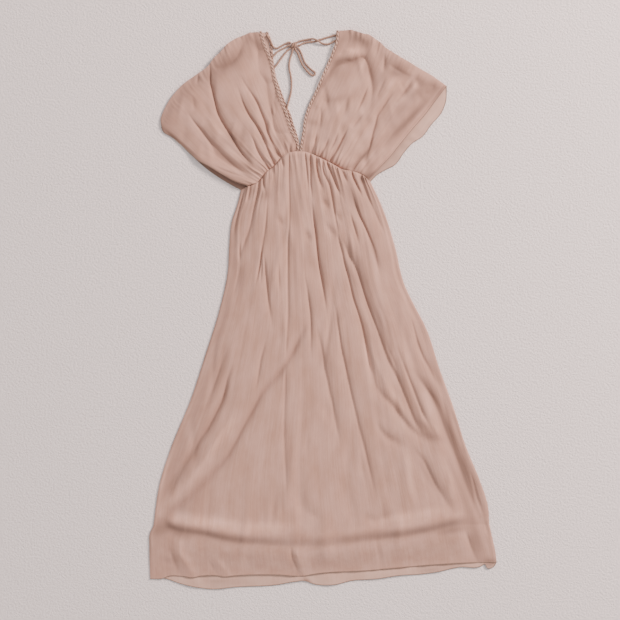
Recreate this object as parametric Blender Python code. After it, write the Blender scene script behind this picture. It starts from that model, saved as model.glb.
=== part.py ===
"""A pleated chiffon maxi dress, laid flat on its back with its front facing up.

Units are metres in Blender. The tables below are in millimetres, in the frame of the
laid-out dress: X to the right, Y towards the shoulders, Z up from the surface it lies on.
Every piece that a maker would cut or sew on is an object of its own.
"""
import math

import bmesh
import bpy
import numpy as np

MM = 0.001

# Walls and gaps between layers, bottom to top
BACK_WALL = 1.0
LINING_WALL = 1.0
FRONT_WALL = 1.2
LAYER_GAP = 0.3
SEAM_GAP = 0.3
BACK_LINING_LEVEL = BACK_WALL + LAYER_GAP
FRONT_LINING_LEVEL = BACK_LINING_LEVEL + LINING_WALL + LAYER_GAP
EDGE_LEVEL = BACK_WALL + LAYER_GAP
PLATEAU_LEVEL = FRONT_LINING_LEVEL + LINING_WALL + LAYER_GAP

# How far the front cloth stands above the layers under it
SKIRT_CROWN = 3.5
BODICE_CROWN = 2.2
SLEEVE_RAMP = 30.0
WAIST_GATHER = 2.5
WAIST_GATHER_REACH = 0.16

# The lining stops short of the skirt's sides and hem
LINING_INSET_WAIST = 13.0
LINING_INSET_LEFT_HEM = 37.0
LINING_INSET_RIGHT_HEM = 73.0
LINING_TOP = 0.012
LINING_HEM = 0.985
LINING_DROP = 0.30

BRAID_WIDTH = 8.0
BRAID_WALL = 1.8
BRAID_END = 0.996
BACK_BRAID_WALL = 1.0

# How finely each panel's grid is cut; the front bodice shares the skirt's columns at the waist
FRONT_SKIRT_COLUMNS = 83
FRONT_SKIRT_ROWS = 20
BACK_SKIRT_COLUMNS = 36
BACK_SKIRT_ROWS = 9
BACK_BODICE_COLUMNS = 18
FRONT_BODICE_ROWS = 18
BACK_BODICE_ROWS = 12

TIE_DIAMETER = 4.0
TIE_CLEARANCE = TIE_DIAMETER + 2 * LAYER_GAP + 0.15
TIE_SPACING = 9.0
TIE_LIFT_NEAR = 20.0
TIE_LIFT_FAR = 50.0
KNOT_CENTRE = (-75.0, 688.0, 4.4)
KNOT_HALF_SIZE = (9.0, 7.5, 4.4)
KNOT_GAP = 0.45
KNOT_RUN_OUT = 5.0
TIE_HEIGHT_AT_KNOT = 2.9

# Edges of the dress as it lies, each a smooth curve through its points (x, y)
WAIST_SEAM = (
    (-213, 312), (-195, 322), (-174, 329), (-159, 342), (-147, 357), (-130, 370), (-117, 383),
    (-104, 398), (-86, 408), (-70, 411), (-55, 411), (-36, 407), (-13, 397), (10, 386),
    (31, 375), (49, 365), (75, 360), (101, 351), (123, 334))
BACK_SEAM = ((-213, 312), (-150, 350), (-100, 386), (-60, 398), (-20, 391), (60, 362), (123, 334))
SKIRT_LEFT = (
    (-213, 312), (-222, 276), (-237, 230), (-244, 160), (-247, 104), (-269, 0), (-304, -112),
    (-343, -231), (-397, -364), (-424, -450), (-441, -562))
SKIRT_LEFT_HEM = ((-441, -562), (-450, -580), (-451, -611), (-449, -698))
SKIRT_RIGHT = (
    (123, 334), (155, 264), (185, 172), (213, 62), (234, 18), (268, -48), (302, -151),
    (337, -248), (373, -360), (407, -442), (429, -512), (432, -556))
SKIRT_RIGHT_HEM = ((432, -556), (441, -597), (448, -629), (451, -655))
LINING_LINE = (
    (-441, -562), (-404, -566), (-377, -573), (-309, -584), (-237, -599), (-164, -605),
    (-8, -609), (127, -594), (200, -586), (260, -576), (359, -555), (432, -556))
FRONT_HEM = (
    (-449, -698), (-413, -696), (-401, -691), (-356, -692), (-341, -694), (-317, -690),
    (-277, -689), (-257, -692), (-237, -690), (-117, -687), (-58, -690), (-8, -683),
    (127, -675), (200, -668), (296, -660), (367, -656), (421, -655), (451, -655))
BACK_HEM = (
    (-449, -698), (-413, -697), (-369, -711), (-322, -721), (-289, -725), (-237, -720),
    (-117, -713), (-73, -705), (-49, -703), (-22, -712), (31, -713), (75, -703), (140, -698),
    (200, -689), (255, -686), (296, -680), (354, -668), (412, -664), (420, -659), (427, -670),
    (441, -668), (451, -655))
LEFT_SHOULDER = (
    (-420, 476), (-422, 495), (-415, 515), (-395, 550), (-360, 588), (-325, 612), (-298, 632),
    (-285, 650), (-265, 669), (-248, 688), (-229, 701), (-205, 712), (-190, 719), (-169, 721),
    (-143, 721))
LEFT_CUFF_FRONT = (
    (-420, 476), (-415, 464), (-395, 451), (-350, 412), (-325, 389), (-302, 376), (-255, 348),
    (-224, 331), (-195, 322))
LEFT_CUFF_BACK = (
    (-420, 476), (-415, 464), (-395, 453), (-350, 411), (-300, 366), (-251, 333), (-213, 312))
RIGHT_SHOULDER = (
    (34, 724), (57, 725), (70, 726), (88, 721), (104, 715), (120, 712), (133, 703), (148, 694),
    (160, 682), (179, 669), (200, 656), (221, 645), (247, 629), (279, 611), (321, 582))
RIGHT_CUFF_FRONT = (
    (321, 582), (295, 548), (267, 511), (233, 472), (200, 432), (170, 395), (148, 372),
    (119, 339))
RIGHT_CUFF_BACK = (
    (321, 582), (318, 539), (309, 516), (279, 479), (260, 453), (230, 432), (210, 409),
    (186, 377), (163, 365), (140, 351), (123, 334))
FRONT_NECK_LEFT = (
    (-159, 720), (-148, 686), (-133, 648), (-121, 595), (-106, 545), (-92, 510), (-80, 471),
    (-68, 446), (-62, 431), (-61.3, 411.3))
FRONT_NECK_RIGHT = (
    (34, 724), (33, 700), (22, 668), (5, 628), (-20, 570), (-40, 527), (-50, 495), (-54, 460),
    (-59, 434), (-60.7, 411.3))
BACK_NECK_LEFT = (
    (-143, 721), (-133, 697), (-130, 676), (-127, 642), (-121, 608), (-108, 575), (-93, 537),
    (-83, 517), (-75, 492), (-68, 473), (-62, 450), (-60.3, 411.3))
BACK_NECK_RIGHT = (
    (34, 724), (36, 700), (25, 668), (9, 628), (-16, 570), (-36, 527), (-46, 495), (-51, 460),
    (-57, 434), (-59.7, 411.3))
CENTRE_AT_WAIST = -61.0

# Folds of the front cloth. A row is the crest or trough line as points (x, y), its height
# over the cloth around it (negative for a trough), and how wide its left and right flanks
# are, seen along the line from its first point
SKIRT_FOLDS = (
    (((-83, 402), (-84, 286), (-84, 88), (-88, -143)), 4.4, 5, 17),
    (((-43, 405), (-39, 343), (-34, 296)), -3.1, 5, 5),
    (((-28, 403), (-26, 343), (-19, 259), (-5, 135), (16, 13)), 4.8, 17, 6),
    (((-13, 396), (-10, 343), (7, 304)), -3.4, 5, 6),
    (((1, 389), (9, 352), (14, 328)), 2.7, 6, 5),
    (((18, 380), (28, 345), (53, 289)), -3.7, 5, 6),
    (((24, 352), (29, 302), (41, 221), (66, 135), (90, 31), (120, -104), (148, -185)),
     4.8, 18, 7),
    (((66, 360), (75, 317), (91, 270), (109, 221), (135, 166)), -5.4, 6, 7),
    (((84, 355), (93, 320), (108, 285)), 4.1, 8, 7),
    (((70, 265), (94, 164), (117, 78), (135, 3), (149, -67), (182, -137), (212, -195),
      (235, -252), (275, -329)), -4.4, 12, 9),
    (((190, -62), (211, -113), (243, -205), (264, -262)), 5.4, 9, 16),
    (((230, -16), (251, -86), (296, -182)), -2.7, 10, 12),
    (((247, -166), (298, -241), (335, -322), (354, -385), (369, -427)), -4.1, 12, 9),
    (((387, -426), (405, -481), (414, -516)), 3.7, 8, 7),
    (((140, -190), (191, -252), (229, -335), (284, -416), (333, -504)), -4.4, 18, 14),
    (((-107, 396), (-103, 367)), -3.1, 5, 5),
    (((-130, 369), (-132, 338)), -3.1, 5, 5),
    (((-142, 355), (-143, 266), (-147, 208), (-166, 88)), -3.4, 9, 9),
    (((-160, 341), (-169, 302), (-179, 244), (-190, 182)), -4.1, 6, 6),
    (((-187, 325), (-190, 281), (-200, 250)), -2.7, 6, 6),
    (((-144, 100), (-130, -10)), 3.1, 14, 14),
    (((-44, 107), (-26, 13), (-23, -68)), -3.1, 14, 12),
    (((-261, -148), (-276, -190), (-307, -268)), -3.1, 9, 9),
    (((-240, -160), (-257, -228), (-278, -278), (-317, -338), (-364, -411), (-384, -450)),
     -4.8, 9, 9),
    (((-174, -130), (-208, -234), (-244, -337), (-327, -432), (-413, -527)), 5.8, 22, 20),
    (((-164, -231), (-203, -286), (-231, -354), (-315, -458), (-377, -512), (-416, -546)),
     -4.1, 20, 16),
    (((49, -68), (60, -143), (83, -231)), -2.7, 14, 14),
    (((3, -81), (31, -231)), -2.4, 16, 14),
    (((73, -211), (109, -320), (138, -432), (156, -499)), 3.7, 22, 16),
    (((26, -195), (49, -302), (68, -361)), -2.7, 16, 16),
    (((361, -546), (382, -585), (408, -640)), -3.1, 12, 10),
    (((-377, -595), (-346, -660), (-335, -689)), 4.1, 12, 12),
    (((-292, -640), (-269, -666), (-257, -689)), 3.1, 14, 12),
    (((-76, -601), (-58, -678), (-50, -689)), 3.7, 14, 14))
LEFT_FOLDS = (
    (((-293, 614), (-282, 562), (-263, 503), (-241, 463), (-205, 403), (-156, 350)),
     -5.1, 8, 7),
    (((-284, 600), (-272, 560), (-250, 503), (-228, 463), (-192, 403), (-150, 362)),
     4.1, 14, 10),
    (((-329, 491), (-288, 438), (-239, 382), (-185, 340)), -4.8, 16, 12),
    (((-209, 550), (-183, 504), (-153, 446), (-133, 400), (-127, 375)), -4.4, 8, 8),
    (((-212, 618), (-168, 537), (-141, 476), (-123, 428), (-109, 396)), -4.4, 9, 8),
    (((-165, 634), (-145, 592), (-135, 527), (-116, 469), (-93, 408)), -4.4, 9, 8),
    (((-189, 455), (-153, 393), (-138, 366)), -3.4, 7, 7),
    (((-278, 627), (-244, 637), (-224, 655), (-208, 676), (-192, 689)), -4.1, 13, 13),
    (((-185, 714), (-175, 688), (-155, 667), (-146, 645)), -2.7, 9, 9),
    (((-326, 606), (-330, 556)), -2.7, 12, 12))
RIGHT_FOLDS = (
    (((0, 554), (21, 621), (52, 647), (88, 650), (101, 663)), -4.4, 12, 12),
    (((36, 655), (60, 672), (84, 676)), 3.1, 12, 14),
    (((112, 671), (122, 647), (130, 601), (130, 546), (124, 510)), -3.7, 9, 9),
    (((166, 663), (163, 616), (152, 564), (140, 528)), -3.1, 11, 11),
    (((179, 560), (142, 514), (133, 478), (119, 416), (94, 388), (77, 364)), -5.1, 7, 8),
    (((230, 588), (218, 575), (203, 555)), -2.7, 10, 10),
    (((265, 546), (242, 518), (210, 478), (182, 453), (159, 416)), -4.1, 14, 13),
    (((114, 572), (98, 532)), -3.4, 8, 8),
    (((84, 514), (75, 478)), -2.7, 9, 9),
    (((90, 442), (81, 421), (74, 364)), -3.1, 9, 9),
    (((49, 425), (36, 412), (20, 385)), -3.1, 8, 8),
    (((12, 432), (-6, 396)), -2.7, 9, 9))

# Neck ties, each as the angle at which it leaves the knot, if it starts there, its route of
# points (x, y, height of the cord's middle), and the angle at which it comes back to the knot
TIES = {
    "tie_left_standing": (
        None,
        ((-146, 714, 3.4), (-143, 709, 3.4), (-136, 698, 3.4), (-131, 686, 3.4),
         (-126, 680.5, 3.0), (-120, 680, 2.3), (-110, 685, 2.1), (-99, 691, 2.1)),
        150),
    "tie_left_loop": (
        186,
        ((-99, 681.5, 2.1), (-110, 676, 2.2), (-120, 669, 3.1), (-128, 660, 3.4),
         (-138, 650, 3.4), (-144, 640, 3.4), (-142, 629, 3.4), (-133, 625, 3.4),
         (-124, 632, 3.4), (-118, 640, 3.1), (-112, 649, 2.2), (-104, 660, 2.1),
         (-95, 671, 2.1)),
        219),
    "tie_left_tail": (
        252,
        ((-81, 666, 2.1), (-85, 654, 2.1), (-88, 637, 2.1), (-87, 623, 2.1), (-84, 610, 2.1),
         (-82, 593, 2.1), (-82, 577, 2.1), (-84, 562, 2.3), (-88, 547, 3.1), (-91, 536, 3.4),
         (-96, 515, 3.4), (-101, 493, 3.4)),
        None),
    "tie_right_standing": (
        None,
        ((54, 703, 3.4), (44, 702, 3.4), (34, 700, 3.3), (23, 695, 2.6), (14, 691, 2.2),
         (3, 691, 2.8), (-6, 694, 4.6), (-15, 699, 6.6), (-23, 703, 5.2), (-33, 704, 2.8),
         (-44, 702, 2.1), (-55, 700, 2.1)),
        40),
    "tie_right_tail": (
        358,
        ((-52, 692.5, 2.1), (-40, 695.5, 2.1), (-29, 696.5, 2.1), (-19, 698, 2.1),
         (-12, 701, 2.1), (-2, 704, 2.1), (10, 708, 2.1), (21, 711, 2.4), (29, 713, 3.2),
         (36, 713.5, 3.4), (46, 713, 3.4)),
        None),
    "tie_right_loop": (
        286,
        ((-66, 668, 2.1), (-62, 658, 2.1), (-58, 647, 2.1), (-52.5, 636, 2.1), (-43, 623, 2.1),
         (-34.5, 614, 2.1), (-28, 609.5, 2.1), (-21.5, 611, 2.1), (-21, 617, 2.1),
         (-28, 622.5, 2.1), (-37, 631, 2.1), (-46, 641, 2.1), (-51.5, 653, 2.1),
         (-55.5, 664, 2.1), (-59.5, 673, 2.1)),
        322),
}

# Finishes: colour in linear RGB, roughness
CHIFFON = ("chiffon", (0.56, 0.38, 0.33), 0.75)
LINING_CLOTH = ("lining cloth", (0.52, 0.36, 0.31), 0.6)
BRAID_TRIM = ("braid trim", (0.55, 0.36, 0.31), 0.7)
TIE_CORD = ("rouleau tie", (0.50, 0.32, 0.27), 0.6)


def curve(points):
    """A smooth curve through the points, as a function of a fraction of its length."""
    points = np.array(points, float)
    steps = np.linalg.norm(np.diff(points, axis=0), axis=1)
    knots = np.concatenate(([0.0], np.cumsum(steps))) / steps.sum()
    slopes = np.gradient(points, knots, axis=0)

    def at(fraction):
        fraction = np.clip(np.atleast_1d(np.asarray(fraction, float)), 0.0, 1.0)
        i = np.clip(np.searchsorted(knots, fraction, side="right") - 1, 0, len(knots) - 2)
        span = (knots[i + 1] - knots[i])[:, None]
        u = (fraction[:, None] - knots[i][:, None]) / span
        return ((2 * u ** 3 - 3 * u ** 2 + 1) * points[i] + (3 * u ** 2 - 2 * u ** 3) * points[i + 1]
                + span * ((u ** 3 - 2 * u ** 2 + u) * slopes[i] + (u ** 3 - u ** 2) * slopes[i + 1]))
    return at


def stretch(line, start, end):
    """The part of a curve between two fractions of its length."""
    return lambda fraction: line(start + (end - start) * np.atleast_1d(fraction))


def beside(line, distance):
    """The curve that runs beside another in the plane, to its left where distance is above 0."""
    def at(fraction):
        fraction = np.atleast_1d(fraction)
        ahead = line(np.minimum(fraction + 0.002, 1.0)) - line(np.maximum(fraction - 0.002, 0.0))
        ahead /= np.linalg.norm(ahead, axis=1)[:, None]
        return line(fraction) + distance * np.stack((-ahead[:, 1], ahead[:, 0]), axis=1)
    return at


def moved(line, dx, dy):
    return lambda fraction: line(fraction) + np.array((dx, dy))


def fraction_at_x(line, x):
    """Where a curve that runs left to right reaches a given x."""
    steps = np.linspace(0.0, 1.0, 801)
    return float(np.interp(x, line(steps)[:, 0], steps))


def patch(top, bottom, left, right):
    """A sheet between four edge curves, as a function of fractions across and down."""
    corners = [top(0.0), top(1.0), bottom(0.0), bottom(1.0)]

    def at(across, down):
        a, d = across[:, None], down[:, None]
        ruled = (1 - d) * top(across) + d * bottom(across) + (1 - a) * left(down) + a * right(down)
        return ruled - ((1 - a) * (1 - d) * corners[0] + a * (1 - d) * corners[1]
                        + (1 - a) * d * corners[2] + a * d * corners[3])
    return at


def joined(side, top, bottom, end):
    """A side edge, shifted evenly along its length so that it meets the top and the bottom."""
    at_top = top(end) - side(0.0)
    at_bottom = bottom(end) - side(1.0)

    def at(fraction):
        fraction = np.atleast_1d(fraction)[:, None]
        return side(fraction[:, 0]) + (1 - fraction) * at_top + fraction * at_bottom
    return at


def ease(x):
    """A smooth rise from 0 at 0 to 1 at 1."""
    x = np.clip(x, 0.0, 1.0)
    return x * x * (3 - 2 * x)


def off_path(points, path, steps=24):
    """How far each point lies to the left of a path, and where along it, from 0 to 1."""
    line = curve(path)(np.linspace(0.0, 1.0, steps + 1))
    best = np.full(len(points), np.inf)
    side = np.zeros(len(points))
    along = np.zeros(len(points))
    for i in range(steps):
        run = line[i + 1] - line[i]
        share = np.clip((points - line[i]) @ run / (run @ run), 0.0, 1.0)
        gap = points - line[i] - share[:, None] * run
        distance = np.linalg.norm(gap, axis=1)
        nearer = distance < best
        best = np.where(nearer, distance, best)
        side = np.where(nearer, np.sign(run[0] * gap[:, 1] - run[1] * gap[:, 0]), side)
        along = np.where(nearer, (i + share) / steps, along)
    return best * side, along


def fold_height(points, folds, narrowest):
    """The height that the folds of a table add at each point."""
    total = np.zeros(len(points))
    for path, height, left, right in folds:
        offset, along = off_path(points, path)
        flank = np.maximum(np.where(offset > 0, left, right), narrowest)
        fade = ease((1 - along) / 0.3)
        total += height * fade * np.exp(-(offset / flank) ** 2)
    return total


def off_knot(angle, distance):
    """A point at a distance from the knot's side, at the height of a tie's middle."""
    turn = math.radians(angle)
    a, b = KNOT_HALF_SIZE[:2]
    radius = distance + a * b / math.hypot(b * math.cos(turn), a * math.sin(turn))
    return (KNOT_CENTRE[0] + radius * math.cos(turn), KNOT_CENTRE[1] + radius * math.sin(turn),
            TIE_HEIGHT_AT_KNOT)


def tie_route(leaves, route, returns):
    """A tie's whole route, with its ends brought up to the knot."""
    route = list(route)
    if leaves is not None:
        route = [off_knot(leaves, KNOT_GAP), off_knot(leaves, KNOT_RUN_OUT)] + route
    if returns is not None:
        route += [off_knot(returns, KNOT_RUN_OUT), off_knot(returns, KNOT_GAP)]
    return np.array(route)


def tie_lift(points):
    """The lowest the front may lie over the ties that pass between it and the back."""
    nearest = np.full(len(points), np.inf)
    for tie in TIES.values():
        offset, _ = off_path(points, tie_route(*tie)[:, :2])
        nearest = np.minimum(nearest, np.abs(offset))
    rise = 1 - ease((nearest - TIE_LIFT_NEAR) / (TIE_LIFT_FAR - TIE_LIFT_NEAR))
    return EDGE_LEVEL + (TIE_CLEARANCE) * rise


def upper_skirt(seam):
    """The skirt from its waist seam down to the line of the lining's hem."""
    return patch(moved(curve(seam), 0, -SEAM_GAP / 2), curve(LINING_LINE), curve(SKIRT_LEFT),
                 curve(SKIRT_RIGHT))


def lower_skirt(hem):
    """The skirt from the line of the lining's hem down to its own."""
    return patch(curve(LINING_LINE), curve(hem), curve(SKIRT_LEFT_HEM), curve(SKIRT_RIGHT_HEM))


SKIRT_FRONT = (upper_skirt(WAIST_SEAM), lower_skirt(FRONT_HEM))
SKIRT_BACK = (upper_skirt(BACK_SEAM), lower_skirt(BACK_HEM))


def skirt_rows(down, upper_share, crowding):
    """Rows of the skirt: 0 to 1 from the waist to the lining's hem line, 1 to 2 below it."""
    return np.where(down < upper_share,
                    (np.minimum(down, upper_share) / upper_share) ** crowding,
                    1 + (down - upper_share) / (1 - upper_share))


def skirt_plan(panel, across, row):
    upper, lower = panel
    return np.where((row <= 1.0)[:, None], upper(across, np.minimum(row, 1.0)),
                    lower(across, np.maximum(row - 1.0, 0.0)))


def skirt_width(row):
    row = np.minimum(row, 1.0)
    return np.linalg.norm(SKIRT_FRONT[0](np.ones_like(row), row)
                          - SKIRT_FRONT[0](np.zeros_like(row), row), axis=1)


def lining_insets(row):
    """The lining's distance inside the skirt's left and right edge."""
    row = np.minimum(row, 1.0)
    left = LINING_INSET_WAIST + (LINING_INSET_LEFT_HEM - LINING_INSET_WAIST) * row
    right = LINING_INSET_WAIST + (LINING_INSET_RIGHT_HEM - LINING_INSET_WAIST) * row ** 2
    return left, right


def front_skirt(across, down):
    """Underside of the skirt's front: over the lining, down at the sides and below its hem."""
    row = skirt_rows(down, 0.75, 1.3)
    plan = skirt_plan(SKIRT_FRONT, across, row)
    width = skirt_width(row)
    left_inset, right_inset = lining_insets(row)
    cell = 1.2 * width / FRONT_SKIRT_COLUMNS
    sides = np.minimum(ease(across * width / (left_inset - cell)),
                       ease((1 - across) * width / (right_inset - cell)))
    below = 1 - ease((row - 1.0) / LINING_DROP)
    lining_top = (PLATEAU_LEVEL - EDGE_LEVEL) * sides * below
    crown = SKIRT_CROWN * ease(np.minimum(across, 1 - across) * width / 60.0)
    gathers = WAIST_GATHER * np.exp(-row / WAIST_GATHER_REACH) * ease(
        np.minimum(across, 1 - across) / 0.06)
    folds = fold_height(plan, SKIRT_FOLDS, 0.9 * width / FRONT_SKIRT_COLUMNS)
    hem = 1 - 0.5 * ease((row - 1.5) / 0.5)
    raised = np.maximum((crown + gathers + folds) * hem * np.minimum(1.0, 0.25 + sides), 0.0)
    return np.column_stack((plan, EDGE_LEVEL + lining_top + raised))


def flat_skirt_back(across, down):
    row = skirt_rows(down, 0.75, 1.0)
    plan = skirt_plan(SKIRT_BACK, across, row)
    return np.column_stack((plan, np.zeros(len(plan))))


def lining(level):
    """A lining panel: the skirt's own upper stretch, drawn in from its sides and hem line."""
    def at(across, down):
        row = LINING_TOP + (LINING_HEM - LINING_TOP) * down
        width = skirt_width(row)
        left_inset, right_inset = lining_insets(row)
        start = left_inset / width
        end = 1 - right_inset / width
        plan = SKIRT_FRONT[0](start + (end - start) * across, row)
        return np.column_stack((plan, np.full(len(plan), level)))
    return at


def neck_level(y):
    """Underside of the front along the neckline, lower where it comes down to the waist."""
    return PLATEAU_LEVEL + 0.9 * ease((y - 430.0) / 60.0)


def bodice_edges(side, front):
    """Top, waist, sleeve and neck edge of a bodice panel, and its columns.

    A front panel's waist edge starts and ends on columns of the skirt. Every corner meets.
    """
    if side == "left":
        shoulder = curve(LEFT_SHOULDER)
        neck = beside(curve(FRONT_NECK_LEFT if front else BACK_NECK_LEFT),
                      -BRAID_WIDTH - SEAM_GAP)
        cuff = curve(LEFT_CUFF_FRONT if front else LEFT_CUFF_BACK)
        neck_at = fraction_at_x(stretch(shoulder, 0.2, 1.0), neck(0.0)[0, 0])
        top = stretch(shoulder, 0.0, 0.2 + 0.8 * neck_at)
    else:
        shoulder = curve(RIGHT_SHOULDER)
        neck = beside(curve(FRONT_NECK_RIGHT if front else BACK_NECK_RIGHT),
                      BRAID_WIDTH + SEAM_GAP)
        cuff = curve(RIGHT_CUFF_FRONT if front else RIGHT_CUFF_BACK)
        top = stretch(shoulder, 1.0, fraction_at_x(shoulder, neck(0.0)[0, 0]))
    seam = curve(WAIST_SEAM if front else BACK_SEAM)
    start = fraction_at_x(seam, cuff(1.0)[0, 0])
    end = fraction_at_x(seam, neck(1.0)[0, 0])
    columns = BACK_BODICE_COLUMNS
    if front:
        start = round(start * FRONT_SKIRT_COLUMNS) / FRONT_SKIRT_COLUMNS
        end = round(end * FRONT_SKIRT_COLUMNS) / FRONT_SKIRT_COLUMNS
        columns = round(abs(end - start) * FRONT_SKIRT_COLUMNS)
    waist = stretch(moved(seam, 0, SEAM_GAP / 2), start, end)
    return top, waist, joined(cuff, top, waist, 0.0), joined(neck, top, waist, 1.0), columns


def front_bodice(side, folds):
    """Underside of a front bodice panel: low at the sleeve's edges, raised over the ties."""
    plan_at = patch(*bodice_edges(side, True)[:4])

    def at(across, down):
        plan = plan_at(across, down)
        reach = 260.0
        inward = np.minimum(across * reach * (1 - 0.55 * down), (down + 0.45 * across ** 2) * reach)
        rise = ease(inward / SLEEVE_RAMP)
        settle = ease((down - 0.75) / 0.25)
        plateau = neck_level(plan[:, 1]) * (1 - settle) + PLATEAU_LEVEL * settle
        folded = (BODICE_CROWN + fold_height(plan, folds, 7.0)) * rise
        under = EDGE_LEVEL + (plateau - EDGE_LEVEL) * rise + folded
        return np.column_stack((plan, np.maximum(under, tie_lift(plan))))
    return at


def back_bodice(side):
    plan_at = patch(*bodice_edges(side, False)[:4])

    def at(across, down):
        plan = plan_at(across, down)
        return np.column_stack((plan, np.zeros(len(plan))))
    return at


def neck_braid(side, front):
    """A trim beside a bodice panel's neck edge, made from that edge moved outwards."""
    neck_edge = bodice_edges(side, front)[3]
    outward = 1 if side == "left" else -1
    near = beside(neck_edge, outward * SEAM_GAP)
    far = beside(neck_edge, outward * (SEAM_GAP + BRAID_WIDTH))

    def at(across, down):
        along = down * BRAID_END
        plan = (1 - across)[:, None] * near(along) + across[:, None] * far(along)
        if not front:
            return np.column_stack((plan, np.zeros(len(plan))))
        return np.column_stack((plan, np.maximum(neck_level(plan[:, 1]), tie_lift(plan))))
    return at


def clear_scene():
    for item in list(bpy.data.objects):
        bpy.data.objects.remove(item, do_unlink=True)


def finish_material(finish):
    name, colour, roughness = finish
    material = bpy.data.materials.get(name) or bpy.data.materials.new(name)
    material.use_nodes = True
    shader = material.node_tree.nodes["Principled BSDF"]
    shader.inputs["Base Color"].default_value = (*colour, 1.0)
    shader.inputs["Roughness"].default_value = roughness
    shader.inputs["Metallic"].default_value = 0.0
    return material


def add_object(name, data, finish, collection):
    data.materials.append(finish_material(finish))
    piece = bpy.data.objects.new(name, data)
    collection.objects.link(piece)
    return piece


def cloth_piece(name, surface, columns, rows, wall, finish, collection):
    """A panel of cloth: a grid laid on its underside and raised straight up by the wall.

    The wall goes straight up, not along the normals, so that the seam gaps stay open.
    """
    cloth = bmesh.new()
    bmesh.ops.create_grid(cloth, x_segments=columns, y_segments=rows, size=0.5)
    across = np.array([vertex.co.x + 0.5 for vertex in cloth.verts])
    down = np.array([0.5 - vertex.co.y for vertex in cloth.verts])
    for vertex, place in zip(cloth.verts, surface(across, down) * MM):
        vertex.co = place
    raised = bmesh.ops.extrude_face_region(cloth, geom=cloth.faces[:], use_keep_orig=True)
    lifted = [item for item in raised["geom"] if isinstance(item, bmesh.types.BMVert)]
    bmesh.ops.translate(cloth, verts=lifted, vec=(0.0, 0.0, wall * MM))
    bmesh.ops.recalc_face_normals(cloth, faces=cloth.faces[:])
    mesh = bpy.data.meshes.new(name)
    cloth.to_mesh(mesh)
    cloth.free()
    mesh.shade_smooth()
    mesh.set_sharp_from_angle(angle=math.radians(50))
    return add_object(name, mesh, finish, collection)


def tie_piece(name, route, collection):
    """A length of tie as a round cord along its route."""
    length = np.linalg.norm(np.diff(route, axis=0), axis=1).sum()
    count = round(length / TIE_SPACING) + 1
    data = bpy.data.curves.new(name, "CURVE")
    data.dimensions = "3D"
    data.bevel_depth = TIE_DIAMETER / 2 * MM
    data.bevel_resolution = 2
    data.use_fill_caps = True
    spline = data.splines.new("POLY")
    spline.points.add(count - 1)
    for point, place in zip(spline.points, curve(route)(np.linspace(0.0, 1.0, count)) * MM):
        point.co = (*place, 1.0)
    return add_object(name, data, TIE_CORD, collection)


def knot_piece(name, collection):
    """The knot that joins the two ties, as one rounded lump."""
    lump = bmesh.new()
    bmesh.ops.create_uvsphere(lump, u_segments=16, v_segments=8, radius=1.0)
    for vertex in lump.verts:
        vertex.co = [(centre + half * part) * MM for centre, half, part in
                     zip(KNOT_CENTRE, KNOT_HALF_SIZE, vertex.co)]
    mesh = bpy.data.meshes.new(name)
    lump.to_mesh(mesh)
    lump.free()
    mesh.shade_smooth()
    return add_object(name, mesh, TIE_CORD, collection)


def build_dress():
    clear_scene()
    dress = bpy.data.collections.new("pleated chiffon maxi dress")
    bpy.context.scene.collection.children.link(dress)
    cloth_piece("back_skirt", flat_skirt_back, BACK_SKIRT_COLUMNS, BACK_SKIRT_ROWS, BACK_WALL,
                CHIFFON, dress)
    cloth_piece("lining_back", lining(BACK_LINING_LEVEL), 14, 6, LINING_WALL, LINING_CLOTH, dress)
    cloth_piece("lining_front", lining(FRONT_LINING_LEVEL), 14, 6, LINING_WALL, LINING_CLOTH,
                dress)
    cloth_piece("front_skirt", front_skirt, FRONT_SKIRT_COLUMNS, FRONT_SKIRT_ROWS, FRONT_WALL,
                CHIFFON, dress)
    for side, folds in (("left", LEFT_FOLDS), ("right", RIGHT_FOLDS)):
        cloth_piece("back_bodice_" + side, back_bodice(side), bodice_edges(side, False)[4],
                    BACK_BODICE_ROWS, BACK_WALL, CHIFFON, dress)
        cloth_piece("front_bodice_" + side, front_bodice(side, folds),
                    bodice_edges(side, True)[4], FRONT_BODICE_ROWS, FRONT_WALL, CHIFFON, dress)
        cloth_piece("back_braid_" + side, neck_braid(side, False), 1, BACK_BODICE_ROWS,
                    BACK_BRAID_WALL, BRAID_TRIM, dress)
        cloth_piece("front_braid_" + side, neck_braid(side, True), 1, FRONT_BODICE_ROWS,
                    BRAID_WALL, BRAID_TRIM, dress)
    for name, tie in TIES.items():
        tie_piece(name, tie_route(*tie), dress)
    knot_piece("tie_knot", dress)


build_dress()
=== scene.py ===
"""The looks of a pleated chiffon maxi dress, laid flat with its front facing up.

Tables and sizes are in millimetres, in the frame of the laid-out dress: X to the right,
Y towards the shoulders, Z up from the floor. MM turns them into Blender's metres.
"""

import math

import bmesh
import bpy
import numpy as np
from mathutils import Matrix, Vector


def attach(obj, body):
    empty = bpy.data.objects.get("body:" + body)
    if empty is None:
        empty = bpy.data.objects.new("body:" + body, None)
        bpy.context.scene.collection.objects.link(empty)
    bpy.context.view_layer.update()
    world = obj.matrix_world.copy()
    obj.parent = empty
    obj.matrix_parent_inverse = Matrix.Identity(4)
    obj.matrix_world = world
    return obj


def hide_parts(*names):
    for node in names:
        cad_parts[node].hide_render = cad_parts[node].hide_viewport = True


MM = 0.001

# Levels of the layers' undersides, the cloth's thickness and the gaps at the seams
CLOTH = 0.6
BACK_LEVEL = 0.2
BACK_LINING_LEVEL = 1.3
FRONT_LINING_LEVEL = 2.6
EDGE_LEVEL = 1.3
PLATEAU_LEVEL = 3.9
SEAM_GAP = 0.3
# X of the dress's middle line
DRESS_MIDDLE = -60.0

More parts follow.
